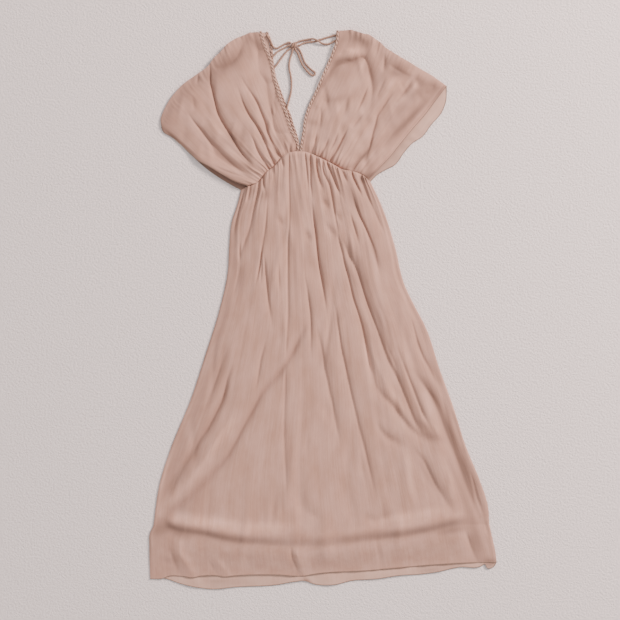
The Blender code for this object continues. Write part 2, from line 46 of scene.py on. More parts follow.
# How the front cloth swells over what is under it: a small step at its rim, then a long slope
RIM = 9.0
RIM_SHARE = 0.28
SKIRT_CROWN = 12.0
SKIRT_SLOPE = 95.0
BODICE_CROWN = 9.5
BODICE_SLOPE = 75.0
NECK_SLOPE = 55.0
# The relief is pressed flat at the skirt's sides and hem, and half flat beside a gathered seam
RELIEF_ROUNDING = 0.5
SKIRT_RELIEF_INSET = 10.0
HEM_SETTLE = 0.8
HEM_SETTLE_START = 1.2
SEAM_PINCH = 0.45
SEAM_PINCH_REACH = 10.0
# The skirt puffs out below the waist seam
WAIST_PUFF = 2.0
WAIST_PUFF_REACH = 70.0
WAIST_PUFF_INSET = 12.0
# A bodice panel's width and length, its width at the gathered waist, how it narrows towards the
# waist, and how its shoulder slants
BODICE_REACH = 260.0
BODICE_WAIST = 150.0
BODICE_TAPER = 0.55
SHOULDER_SLANT = 0.45
# It rises from the sleeve's edge to its plateau, drops at the neck and blouses over the waist
SLEEVE_RAMP = 30.0
SLEEVE_EDGE_RELIEF = 0.15
WAIST_SETTLE_START = 0.75
NECK_DROP = 0.8
NECK_DROP_START = 430.0
NECK_DROP_LENGTH = 60.0
BLOUSE = 2.0
BLOUSE_CENTRE = 15.0
BLOUSE_REACH = 13.0

# How wide a crease's flanks and slit are at its first point, as a share of their width, and
# how much of it they gain by the last
FLANK_SPREAD = (0.75, 0.6)
SLIT_SPREAD = (0.7, 0.6)
# How many flank widths away a crease still counts
CREASE_SIGHT = 7
CREASE_ROUNDING = 1.2
CREASE_SLIT_WIDTH = 2.6
CREASE_MERGE = 3.0
CREASE_SHADE_OFFSET = 0.9
# How far a crease takes to fade out at its ends, and the most of its length that it takes
CREASE_FADE = 110.0
CREASE_FADE_MOST = 0.45
# An end this near to the waist seam or the hem lies on it and stays full
SEAM_REACH = 14.0
# The way to the window, over the floor
WINDOW_SIDE = (0.81, 0.59)

# Small folds along a seam: their pitch, height, width and reach
SKIRT_SHORT_FOLDS = (6.5, 2.2, 2.3, 45.0)
SKIRT_LONG_FOLDS = (15.0, 2.4, 4.5, 150.0)
WAIST_SHORT_FOLDS = (6.5, 2.4, 2.4, 45.0)
WAIST_LONG_FOLDS = (11.0, 2.2, 3.6, 110.0)
SHOULDER_FOLDS = (6.0, 1.4, 2.2, 35.0)
SHOULDER_SCALLOPS = (11.0, 2.0, 3.4, 15.0)
SLEEVE_RIPPLES = (30.0, 1.2, 12.0, 400.0)
# How each one differs by chance: its shift as a share of the pitch, its height, width and
# reach as shares of those above, and its slant
GATHER_SHIFTS = (-0.45, 0.45)
GATHER_HEIGHTS = (0.25, 1.0)
GATHER_WIDTHS = (0.6, 1.3)
GATHER_REACHES = (0.25, 1.0)
GATHER_LEAN_SPREAD = 0.05
# Long shallow pleats: their number, height and width
SKIRT_PLEATS = (110, 0.7, 4.5)
BODICE_PLEATS = (22, 1.2, 5.0)
# Where down the panel a pleat has its middle and how far it reaches from there, its height and
# width as shares of those above, how far it sways as a share of the width, and how often
PLEAT_MIDDLES = (0.05, 0.95)
PLEAT_EXTENTS = (0.12, 0.4)
PLEAT_HEIGHTS = (-1.0, 1.0)
PLEAT_WIDTHS = (0.6, 1.5)
PLEAT_SWAYS = (-0.5, 0.5)
PLEAT_SWAY_RATE = 5.0
PLEAT_SWAY_STARTS = (0.0, 6.3)
# Shallow dents: their number, height, width and length
SKIRT_DENTS = (260, 3.0, 13.0, 40.0)
BODICE_DENTS = (80, 3.0, 11.0, 28.0)
# The width, length and height of one as shares of those above
DENT_SIZES = (0.5, 1.5)
DENT_HEIGHTS = (-1.0, 1.0)
# Dents lean away from the dress's middle, more so the further from it they are
DENT_LEAN = 0.0006
DENT_LEAN_SPREAD = 0.12
# The arched seam is longer than the skirt is wide, and the shoulder longer than the waist
SKIRT_SEAM_FULLNESS = 1.1
SHOULDER_FULLNESS = 1.4
# The scalloped gathers of the shoulder end this far from the dress's middle
SCALLOP_REACH = 250.0
SCALLOP_FADE = 60.0
SKIRT_SEED = 11
BODICE_SEEDS = {"left": 31, "right": 58}

# The lining stops short of the skirt's sides, and its hem shows through as a ridge
LINING_INSET_WAIST = 13.0
LINING_INSET_LEFT_HEM = 37.0
LINING_INSET_RIGHT_HEM = 73.0
# The shares of that inset from which the front rises over the lining, and along which it does
LINING_EDGE = (0.6, 0.8)
LINING_TOP = 0.012
LINING_HEM = 0.998
LINING_RIDGE = 9.0
LINING_RIDGE_RISE = 40.0
LINING_RIDGE_LEAST = 0.4
LINING_RIDGE_MIDDLE = -20.0
LINING_RIDGE_REACH = 260.0
LINING_DROP_START = 27.0
LINING_DROP_WIDTH = 30.0
UPPER_SKIRT_LENGTH = 950.0
LOWER_SKIRT_LENGTH = 110.0

# The back ripples where it shows beside the front's edges: below the hem, and by the sleeves
BACK_SHOWN_BELOW = -600.0
BACK_HEM_SHOWN = 8.0
BACK_HEM_RIPPLE = 1.2
BACK_HEM_WAVE = 21.0
BACK_HEM_SWAY = 1.5
BACK_HEM_SWAY_WAVE = 47.0
BACK_SLEEVE_SHOWN = 10.0
BACK_SLEEVE_RIPPLE = 0.8
BACK_SLEEVE_LENGTH = 300.0

# The neck trim's two strands swing aside and over each other, and swell where they cross
BRAID_WIDTH = 8.0
BRAID_STRAND = 2.3
BRAID_SWING = 2.5
BRAID_WEAVE = 0.6
BRAID_PITCH = 11.0
BRAID_THIN = 0.55
BRAID_THICK = 1.35
BRAID_STEP = 0.9
BRAID_LIFT = 0.4
BRAID_SEAT = 0.55
BRAID_END = 0.996
# The tape under the trim, and the diameters of the rolled hems
TAPE_INSET = 0.6
TAPE_LIFT = 0.1
HEM_ROLL = 2.2
CUFF_ROLL = 2.0
ROLL_CLEARANCE = 0.05
# The groove beside the stitches of a sleeve's hem, which a high blousing edge doesn't show
HEM_WIDTH = 6.0
HEM_GROOVE = 2.0
HEM_GROOVE_WIDTH = 1.6
HEM_GROOVE_HIDDEN = 8.0
# How high a sleeve's free edge stands off the back, from what share of its length down, and
# along what share it rises
CUFF_LIFTS = {"left": 9.0, "right": 1.5}
CUFF_LIFT_START = 0.25
CUFF_LIFT_RUN = 0.4

# The ties, and how the front is lifted where they pass under it
TIE_DIAMETER = 4.8
TIE_CLEARANCE = TIE_DIAMETER + 0.75
TIE_LIFT_NEAR = 20.0
TIE_LIFT_FAR = 50.0
TIE_STEP = 1.5
TIE_HEIGHT_AT_KNOT = 2.9
KNOT_CENTRE = (-75.0, 688.0, 4.4)
KNOT_HALF_SIZE = (9.0, 7.5, 4.4)
KNOT_GAP = 0.45
KNOT_RUN_OUT = 5.0
# The knot's core under its wraps, and each wrap as its slant in degrees and its shift aside
KNOT_CORE_SHARE = 0.86
WRAPS = ((62, -2.88), (74, 2.28))
WRAP_HALF_WIDTH = 6.3
WRAP_HEIGHT = 4.0
WRAP_DROP = 0.6
WRAP_ENDS = (-12, 192)
WRAP_DIAMETER = TIE_DIAMETER * 0.9

# Columns and rows of each panel's grid, and the points along each edge
FRONT_SKIRT_GRID = (290, 165)
BACK_SKIRT_GRID = (200, 90)
FRONT_BODICE_GRID = (150, 130)
BACK_BODICE_GRID = (90, 80)
LINING_GRID = (60, 40)
TAPE_GRID = (4, 260)
HEM_POINTS = 700
FRONT_CUFF_POINTS = 260
BACK_CUFF_POINTS = 200
# The skirt's rows lie closest at the waist's gathers and at the lining's hem
ROW_SHARES = (0.0, 0.08, 0.20, 0.79, 0.85, 1.0)
ROW_PLACES = (0.0, 0.06, 0.20, 0.965, 1.0, 2.0)
# Width and length of each panel's cloth, which its crinkle is scaled to
SKIRT_CLOTH = (700, 1080)
LINING_CLOTH = (600, 920)
BODICE_CLOTH = (260, 330)
TAPE_CLOTH = (BRAID_WIDTH, 300)
# The angle in degrees from which an edge looks sharp
SHARP_EDGE = 60

# Patterns of the crinkled chiffon, each with the width and length of one mark in the cloth and
# the detail and roughness of its noise. The pleats are 2 to 4 mm wide in the real cloth and
# its crepe yarns 0.3 mm. Both are too fine to show and so are drawn wider.
CHIFFON_PATTERNS = {
    "pleats": (5.263, 143.0, 3.0, 0.60),
    "crepe": (1.613, 16.67, 2.0, 0.70),
    "patches": (38.46, 76.9, 3.0, 0.55),
}
# How deep their bumps look, and how strong those of the pleats, the crepe and any other cloth
CRINKLE_RELIEF = 0.5
PLEAT_STRENGTH = 1.0
CREPE_STRENGTH = 0.8
GRAIN_STRENGTH = 0.6
# The cloth's tone follows its patches and half as much its pleats, over this range of both
PLEAT_TONE_SHARE = 0.5
TONE_RANGE = (0.55, 0.95)
# Spacing of the floor's tufts and how high they stand
TUFT_SPACING = 5.882
TUFT_RELIEF = 9.0

# The camera looks straight down, and its picture is as wide as the view of the photograph
PHOTO_CENTRE = (-33.8, 0.0)
PHOTO_WIDTH = 1612.0
CAMERA_HEIGHT = 2600.0
SENSOR = 36.0
# The window is a soft disc of light far beyond the upper right corner of the picture
WINDOW_PLACE = (4050.0, 2950.0, 2600.0)
WINDOW_WIDTH = 1500.0
WINDOW_POWER = 670.0
ROOM_STRENGTH = 0.99
FLOOR_WIDTH = 8000.0
FLOOR_DROP = 0.5

# Edges of the dress as it lies, each a smooth curve through its points (x, y)
WAIST_SEAM = (
    (-213, 312), (-195, 322), (-174, 329), (-159, 342), (-147, 357), (-130, 370), (-117, 383),
    (-104, 398), (-86, 408), (-70, 411), (-55, 411), (-36, 407), (-13, 397), (10, 386),
    (31, 375), (49, 365), (75, 360), (101, 351), (123, 334))
BACK_SEAM = ((-213, 312), (-150, 350), (-100, 386), (-60, 398), (-20, 391), (60, 362), (123, 334))
SKIRT_LEFT = (
    (-213, 312), (-222, 276), (-237, 230), (-244, 160), (-247, 104), (-269, 0), (-304, -112),
    (-343, -231), (-397, -364), (-424, -450), (-441, -562))
SKIRT_LEFT_HEM = ((-441, -562), (-450, -580), (-451, -611), (-449, -698))
SKIRT_RIGHT = (
    (123, 334), (155, 264), (185, 172), (213, 62), (234, 18), (268, -48), (302, -151),
    (337, -248), (373, -360), (407, -442), (429, -512), (432, -556))
SKIRT_RIGHT_HEM = ((432, -556), (441, -597), (448, -629), (451, -655))
LINING_LINE = (
    (-441, -562), (-404, -566), (-377, -573), (-309, -584), (-237, -599), (-164, -605),
    (-8, -609), (127, -594), (200, -586), (260, -576), (359, -555), (432, -556))
FRONT_HEM = (
    (-449, -698), (-413, -696), (-401, -691), (-356, -692), (-341, -694), (-317, -690),
    (-277, -689), (-257, -692), (-237, -690), (-117, -687), (-58, -690), (-8, -683),
    (127, -675), (200, -668), (296, -660), (367, -656), (421, -655), (451, -655))
BACK_HEM = (
    (-449, -698), (-413, -697), (-369, -711), (-322, -721), (-289, -725), (-237, -720),
    (-117, -713), (-73, -705), (-49, -703), (-22, -712), (31, -713), (75, -703), (140, -698),
    (200, -689), (255, -686), (296, -680), (354, -668), (412, -664), (420, -659), (427, -670),
    (441, -668), (451, -655))
SEAMS = {"front": WAIST_SEAM, "back": BACK_SEAM}
SHOULDERS = {
    "left": (
        (-420, 476), (-422, 495), (-415, 515), (-395, 550), (-360, 588), (-325, 612),
        (-298, 632), (-285, 650), (-265, 669), (-248, 688), (-229, 701), (-205, 712),
        (-190, 719), (-169, 721), (-143, 721)),
    "right": (
        (34, 724), (57, 725), (70, 726), (88, 721), (104, 715), (120, 712), (133, 703),
        (148, 694), (160, 682), (179, 669), (200, 656), (221, 645), (247, 629), (279, 611),
        (321, 582)),
}
# The left shoulder's line runs left at first, and to the right from this share of its length
LEFT_SHOULDER_TURN = 0.2
CUFFS = {
    ("left", "front"): (
        (-420, 476), (-415, 464), (-395, 451), (-350, 412), (-325, 389), (-302, 376),
        (-255, 348), (-224, 331), (-195, 322)),
    ("left", "back"): (
        (-420, 476), (-415, 464), (-395, 453), (-350, 411), (-300, 366), (-251, 333),
        (-213, 312)),
    ("right", "front"): (
        (321, 582), (295, 548), (267, 511), (233, 472), (200, 432), (170, 395), (148, 372),
        (119, 339)),
    ("right", "back"): (
        (321, 582), (318, 539), (309, 516), (279, 479), (260, 453), (230, 432), (210, 409),
        (186, 377), (163, 365), (140, 351), (123, 334)),
}
NECKLINES = {
    ("left", "front"): (
        (-159, 720), (-148, 686), (-133, 648), (-121, 595), (-106, 545), (-92, 510), (-80, 471),
        (-68, 446), (-62, 431), (-61.3, 411.3)),
    ("left", "back"): (
        (-143, 721), (-133, 697), (-130, 676), (-127, 642), (-121, 608), (-108, 575), (-93, 537),
        (-83, 517), (-75, 492), (-68, 473), (-62, 450), (-60.3, 411.3)),
    ("right", "front"): (
        (34, 724), (33, 700), (22, 668), (5, 628), (-20, 570), (-40, 527), (-50, 495),
        (-54, 460), (-59, 434), (-60.7, 411.3)),
    ("right", "back"): (
        (34, 724), (36, 700), (25, 668), (9, 628), (-16, 570), (-36, 527), (-46, 495),
        (-51, 460), (-57, 434), (-59.7, 411.3)),
}
OUTWARD = {"left": -1, "right": 1}

# Creases of the front cloth. A row is the line of a crease or ridge as points (x, y), its
# height over the cloth around it (negative for a crease), how much deeper the narrow slit in
# its middle is, and how wide its left and right flanks are, seen along it from its first point
SKIRT_CREASES = (
    (((-84, 398), (-85, 350), (-83, 270), (-84, 220), (-87, 170), (-88, 100), (-87, 0),
      (-91, -90), (-93, -180)), -1.5, 1.5, 10, 4),
    (((-90, -80), (-92, -120), (-94, -200), (-97, -300), (-92, -430), (-88, -520)),
     -2.0, 1.0, 8, 4),
    (((-44, 402), (-41, 365), (-38, 330), (-35, 290)), -2.5, 2.0, 4, 4),
    (((-32, 402), (-31, 360), (-31, 330), (-28, 300), (-26, 272)), -2.5, 2.0, 4, 4),
    (((-28, 300), (-25, 270), (-21, 235), (-16, 200), (-14, 180), (-11, 150), (-7, 120),
      (-2, 90), (3, 60), (7, 30), (11, 0), (14, -25)), -5.0, 3.5, 7, 7),
    (((-16, 394), (-14, 362), (-10, 343), (-4, 325), (7, 302)), -3.0, 2.5, 4, 4),
    (((0, 388), (3, 360), (9, 343), (17, 330), (24, 302), (29, 272), (34, 240), (40, 208),
      (45, 180), (49, 165)), -3.0, 2.0, 5, 5),
    (((40, 210), (45, 180), (53, 150), (60, 120), (69, 90), (76, 60), (83, 30), (93, 0),
      (102, -30), (109, -60), (115, -90), (120, -120), (126, -150), (138, -185)),
     -5.0, 2.5, 8, 9),
    (((12, 384), (22, 358), (33, 332), (43, 310), (55, 284)), -4.0, 2.5, 5, 4),
    (((48, 366), (56, 349), (66, 326)), -2.5, 1.5, 4, 4),
    (((70, 262), (75, 240), (84, 210), (92, 180), (98, 162)), -3.0, 1.5, 4, 5),
    (((76, 361), (80, 345), (87, 330), (99, 305), (109, 284)), -3.5, 2.5, 5, 5),
    (((70, 328), (73, 316), (79, 300), (89, 270), (101, 240), (115, 210), (127, 180),
      (138, 150), (145, 120), (153, 90)), -5.0, 3.0, 7, 7),
    (((72, 306), (78, 295), (88, 270), (101, 240), (113, 214)), -4.0, 1.5, 7, 5),
    (((112, 216), (127, 180), (138, 150), (145, 120), (153, 85)), -4.5, 1.0, 8, 7),
    (((36, 208), (43, 185), (52, 152), (61, 118)), -4.0, 2.0, 6, 6),
    (((158, -60), (172, -100), (190, -140), (206, -178)), -3.0, 1.0, 5, 6),
    (((-113, 130), (-112, 90), (-110, 40)), -2.5, 1.0, 5, 5),
    (((-152, 150), (-156, 120), (-158, 90), (-157, 60)), -2.5, 1.5, 5, 5),
    (((-212, 185), (-214, 150), (-213, 115)), -3.0, 1.5, 5, 5),
    (((40, 212), (52, 192), (62, 176), (73, 150), (89, 120), (101, 90), (109, 62), (119, 30),
      (130, 0), (141, -30), (152, -60), (162, -90), (173, -120), (188, -150), (204, -180),
      (215, -210), (227, -240), (239, -270), (253, -300), (270, -320), (300, -345)),
     -6.5, 1.5, 12, 10),
    (((188, -75), (205, -120), (220, -160), (240, -210), (255, -250), (272, -285), (296, -322),
      (315, -350)), -4.0, 1.5, 7, 7),
    (((236, -150), (259, -180), (281, -210), (299, -240), (312, -270), (323, -300), (336, -330),
      (347, -360), (359, -390), (371, -420), (383, -455), (394, -500), (402, -540)),
     -9.0, 2.0, 10, 10),
    (((228, 0), (240, -45), (252, -90), (264, -120), (281, -150), (295, -180), (312, -212)),
     -5.0, 1.5, 8, 8),
    (((28, 30), (38, 0), (41, -30), (46, -60), (50, -90), (56, -120), (63, -150), (69, -180),
      (76, -210), (83, -240), (90, -270), (97, -300), (105, -330), (113, -360), (120, -392),
      (128, -425), (136, -460), (148, -505)), -4.0, 1.5, 8, 10),
    (((28, 30), (38, 0), (41, -30), (46, -60), (50, -90), (56, -120), (63, -150), (69, -180),
      (76, -210), (83, -240), (90, -270)), -3.5, 1.5, 7, 7),
    (((-18, -20), (-8, -60), (0, -90), (5, -120), (9, -150), (16, -180), (22, -210), (29, -240),
      (34, -270), (40, -300), (48, -335), (55, -370)), -4.5, 1.0, 8, 8),
    (((-46, 105), (-44, 90), (-38, 60), (-34, 30), (-30, 0), (-28, -30), (-28, -60),
      (-28, -100), (-26, -140)), -4.5, 2.0, 7, 7),
    (((-154, 180), (-148, 120), (-144, 80), (-141, 50), (-138, 20), (-133, -10), (-124, -60)),
     -4.0, 2.0, 6, 6),
    (((-20, -20), (-42, -48), (-57, -70), (-70, -98), (-86, -126), (-104, -152), (-126, -180),
      (-154, -210), (-170, -240), (-186, -270), (-203, -300), (-218, -330), (-235, -360),
      (-257, -392), (-285, -420), (-313, -450), (-342, -480), (-378, -512), (-425, -548),
      (-470, -580)), -9.0, 0.0, 8, 9),
    (((-142, -60), (-148, -90), (-157, -120), (-162, -150), (-169, -190), (-180, -235)),
     -3.0, 1.0, 6, 6),
    (((-238, -80), (-250, -115), (-262, -150), (-274, -182), (-285, -212), (-297, -242),
      (-310, -275)), -5.0, 0.0, 8, 8),
    (((-226, -130), (-237, -160), (-245, -185), (-251, -215), (-262, -242), (-276, -270),
      (-292, -300), (-313, -330), (-332, -360), (-352, -390), (-371, -420), (-388, -450),
      (-408, -485), (-428, -520), (-445, -550)), -10.0, 0.0, 8, 8),
    (((-141, 320), (-142, 280), (-145, 240), (-148, 210), (-153, 180), (-158, 150), (-161, 120),
      (-168, 90), (-174, 65)), -2.0, 1.5, 5, 5),
    (((-151, 190), (-157, 155), (-161, 122), (-168, 90), (-176, 60)), -3.0, 4.0, 5, 5),
    (((-162, 338), (-166, 310), (-172, 285), (-177, 262), (-182, 238), (-189, 210), (-198, 183),
      (-207, 155)), -3.0, 1.0, 5, 5),
    (((-178, 250), (-184, 228), (-189, 208), (-199, 182), (-210, 150), (-215, 120)),
     -3.0, 1.5, 6, 6),
    (((-200, 315), (-207, 290), (-214, 262), (-223, 225), (-232, 185)), -4.0, 1.0, 6, 6),
    (((-208, 140), (-213, 100), (-222, 60), (-232, 15)), -4.0, 0.0, 8, 8),
    (((-107, 400), (-104, 385), (-99, 365)), -2.5, 2.0, 4, 4),
    (((-130, 378), (-130, 345)), -2.0, 2.0, 4, 4),
    (((-153, 358), (-154, 340), (-150, 315), (-146, 290)), -2.0, 2.0, 4, 4),
    (((-187, 322), (-190, 305), (-197, 275)), -2.0, 1.5, 5, 5),
    (((-122, 244), (-110, 236), (-96, 220)), -4.5, 0.0, 6, 7),
    (((-2, 294), (10, 279), (24, 264)), -5.0, 0.0, 7, 7),
    (((34, 262), (44, 245), (54, 228)), -4.0, 0.0, 8, 8),
    (((6, 236), (20, 214), (34, 198), (46, 184)), -4.0, 0.0, 7, 7),
    (((-44, 212), (-32, 192), (-20, 178)), -4.5, 0.0, 8, 8),
    (((104, 342), (108, 330), (119, 302), (133, 272), (147, 240), (161, 210), (170, 180)),
     -4.5, 0.5, 8, 8),
    (((130, -165), (152, -208), (183, -240), (207, -272), (235, -305), (270, -328),
      (310, -345)), -7.5, 0.0, 8, 8),
    (((140, -280), (152, -302), (172, -325), (198, -339), (224, -352)), -6.0, 0.0, 8, 8),
    (((222, -332), (246, -362), (268, -390), (283, -420), (298, -450), (317, -480),
      (334, -505), (360, -535)), -7.0, 0.5, 9, 13),
    (((378, -400), (387, -425), (394, -452), (402, -485), (413, -515), (422, -548)),
     -4.0, 3.0, 5, 8),
    (((372, -560), (382, -590), (393, -620), (410, -652)), -6.0, 1.0, 9, 7),
    (((95, -513), (118, -530), (141, -540), (165, -532), (189, -516)), -4.0, 0.0, 9, 9),
    (((-55, -510), (-30, -520), (5, -535)), -3.0, 0.0, 8, 8),
    (((-394, -612), (-388, -635), (-378, -660), (-357, -692)), -4.5, 0.5, 7, 7),
    (((-295, -645), (-283, -665), (-266, -688)), -3.5, 0.5, 6, 6),
    (((-83, -598), (-77, -635), (-66, -668), (-52, -695)), -4.5, 1.0, 5, 8),
    (((-215, -250), (-248, -300), (-280, -350), (-312, -400), (-358, -450), (-398, -498)),
     5.0, 0.0, 14, 12),
    (((-370, -618), (-352, -650), (-330, -688)), 4.0, 0.0, 8, 8),
    (((-272, -640), (-255, -662), (-238, -686)), 2.5, 0.0, 8, 8),
    (((-62, -602), (-54, -640), (-38, -685)), 3.5, 0.0, 13, 6),
    (((128, -60), (145, -130), (175, -190), (212, -240)), 2.5, 0.0, 12, 12))
LEFT_CREASES = (
    (((-294, 668), (-291, 640), (-289, 618), (-289, 592), (-283, 570), (-276, 540), (-268, 510),
      (-255, 485), (-240, 462), (-225, 435), (-205, 405), (-190, 388), (-174, 371)),
     -6.0, 4.0, 8, 8),
    (((-240, 462), (-225, 435), (-205, 405), (-190, 388), (-174, 371)), -4.0, 3.0, 7, 7),
    (((-352, 528), (-334, 497), (-312, 470), (-288, 439), (-265, 409), (-237, 383), (-210, 365),
      (-180, 353)), -8.5, 3.0, 9, 9),
    (((-214, 622), (-202, 592), (-184, 565), (-168, 540), (-158, 515), (-148, 490),
      (-140, 460), (-130, 435), (-117, 410), (-105, 396)), -4.5, 2.5, 7, 7),
    (((-158, 515), (-148, 490), (-140, 460), (-130, 435), (-117, 410), (-105, 396)),
     -4.0, 3.0, 6, 6),
    (((-222, 592), (-214, 565), (-205, 538), (-191, 510), (-173, 484), (-158, 458), (-147, 432),
      (-136, 406), (-126, 383)), -4.5, 3.0, 6, 6),
    (((-175, 640), (-152, 612), (-142, 590), (-138, 560), (-132, 520), (-125, 495),
      (-113, 465), (-105, 440), (-98, 420), (-90, 404)), -4.0, 2.5, 7, 7),
    (((-190, 462), (-178, 440), (-168, 415), (-155, 392), (-140, 370)), -3.0, 2.0, 5, 5),
    (((-190, 717), (-172, 695), (-157, 668), (-142, 640), (-133, 615)), -5.0, 0.0, 8, 7),
    (((-292, 645), (-262, 633), (-238, 643), (-215, 665), (-202, 690), (-184, 708)),
     -9.0, 0.0, 11, 12),
    (((-322, 612), (-323, 598), (-326, 582)), -2.0, 1.5, 5, 5),
    (((-335, 560), (-331, 540), (-328, 512)), -2.5, 0.0, 6, 8),
    (((-290, 380), (-255, 363), (-225, 352), (-200, 344)), -3.5, 2.5, 5, 5))
RIGHT_CREASES = (
    (((192, 580), (180, 560), (167, 542), (155, 524), (144, 506), (139, 484), (133, 464),
      (128, 443), (121, 422), (112, 406), (95, 391), (78, 367)), -4.0, 2.0, 8, 7),
    (((186, 572), (176, 556), (165, 540), (155, 524), (147, 510), (142, 492)), -3.0, 2.0, 6, 6),
    (((133, 466), (128, 443), (121, 423), (112, 406), (95, 391), (78, 367)), -5.0, 6.0, 5, 6),
    (((126, 436), (120, 420), (110, 404), (97, 391), (84, 374), (74, 360)), -4.0, 4.0, 5, 6),
    (((-12, 572), (6, 595), (20, 615), (34, 632), (50, 643), (78, 648), (97, 656), (110, 659),
      (119, 647), (125, 622), (131, 598), (133, 570), (130, 540), (128, 505)), -9.0, 0.0, 8, 8),
    (((128, 605), (115, 573), (105, 550), (92, 520), (84, 498)), -2.5, 2.0, 5, 6),
    (((238, 600), (226, 584), (212, 566), (198, 549), (184, 528)), -7.0, 0.0, 7, 7),
    (((280, 550), (259, 531), (237, 510), (218, 489), (200, 472), (180, 452), (164, 430),
      (150, 408)), -9.0, 0.0, 8, 8),
    (((252, 598), (232, 574), (208, 548)), 3.0, 0.0, 7, 7),
    (((300, 592), (280, 572), (255, 556)), -7.0, 0.0, 11, 11),
    (((168, 650), (200, 630), (240, 610)), -8.0, 0.0, 13, 12),
    (((212, 600), (188, 582), (170, 555)), 3.0, 0.0, 12, 12),
    (((-6, 535), (-3, 515), (-4, 495), (-9, 460)), -2.0, 1.0, 5, 5),
    (((2, 562), (10, 550), (20, 540)), -3.0, 0.0, 7, 7),
    (((88, 580), (70, 548), (60, 510), (50, 480)), -3.0, 0.0, 8, 8),
    (((108, 510), (90, 490), (74, 465)), -3.5, 1.0, 7, 7),
    (((70, 480), (55, 450), (42, 425), (28, 402), (20, 388)), -4.5, 2.5, 6, 6),
    (((36, 375), (52, 370), (72, 372)), -3.0, 0.0, 8, 6),
    (((44, 465), (28, 430), (12, 402)), -3.5, 1.5, 6, 6),
    (((18, 450), (4, 418), (-8, 398)), -3.5, 1.5, 5, 5),
    (((-14, 460), (-22, 425), (-30, 408)), -3.5, 1.5, 5, 5),
    (((166, 668), (164, 640), (160, 610)), -4.0, 1.0, 10, 5),
    (((168, 608), (150, 570), (138, 530)), -4.0, 0.0, 7, 8),
    (((44, 672), (64, 677), (88, 675)), 1.5, 0.0, 10, 10))
CREASES = {"left": LEFT_CREASES, "right": RIGHT_CREASES}

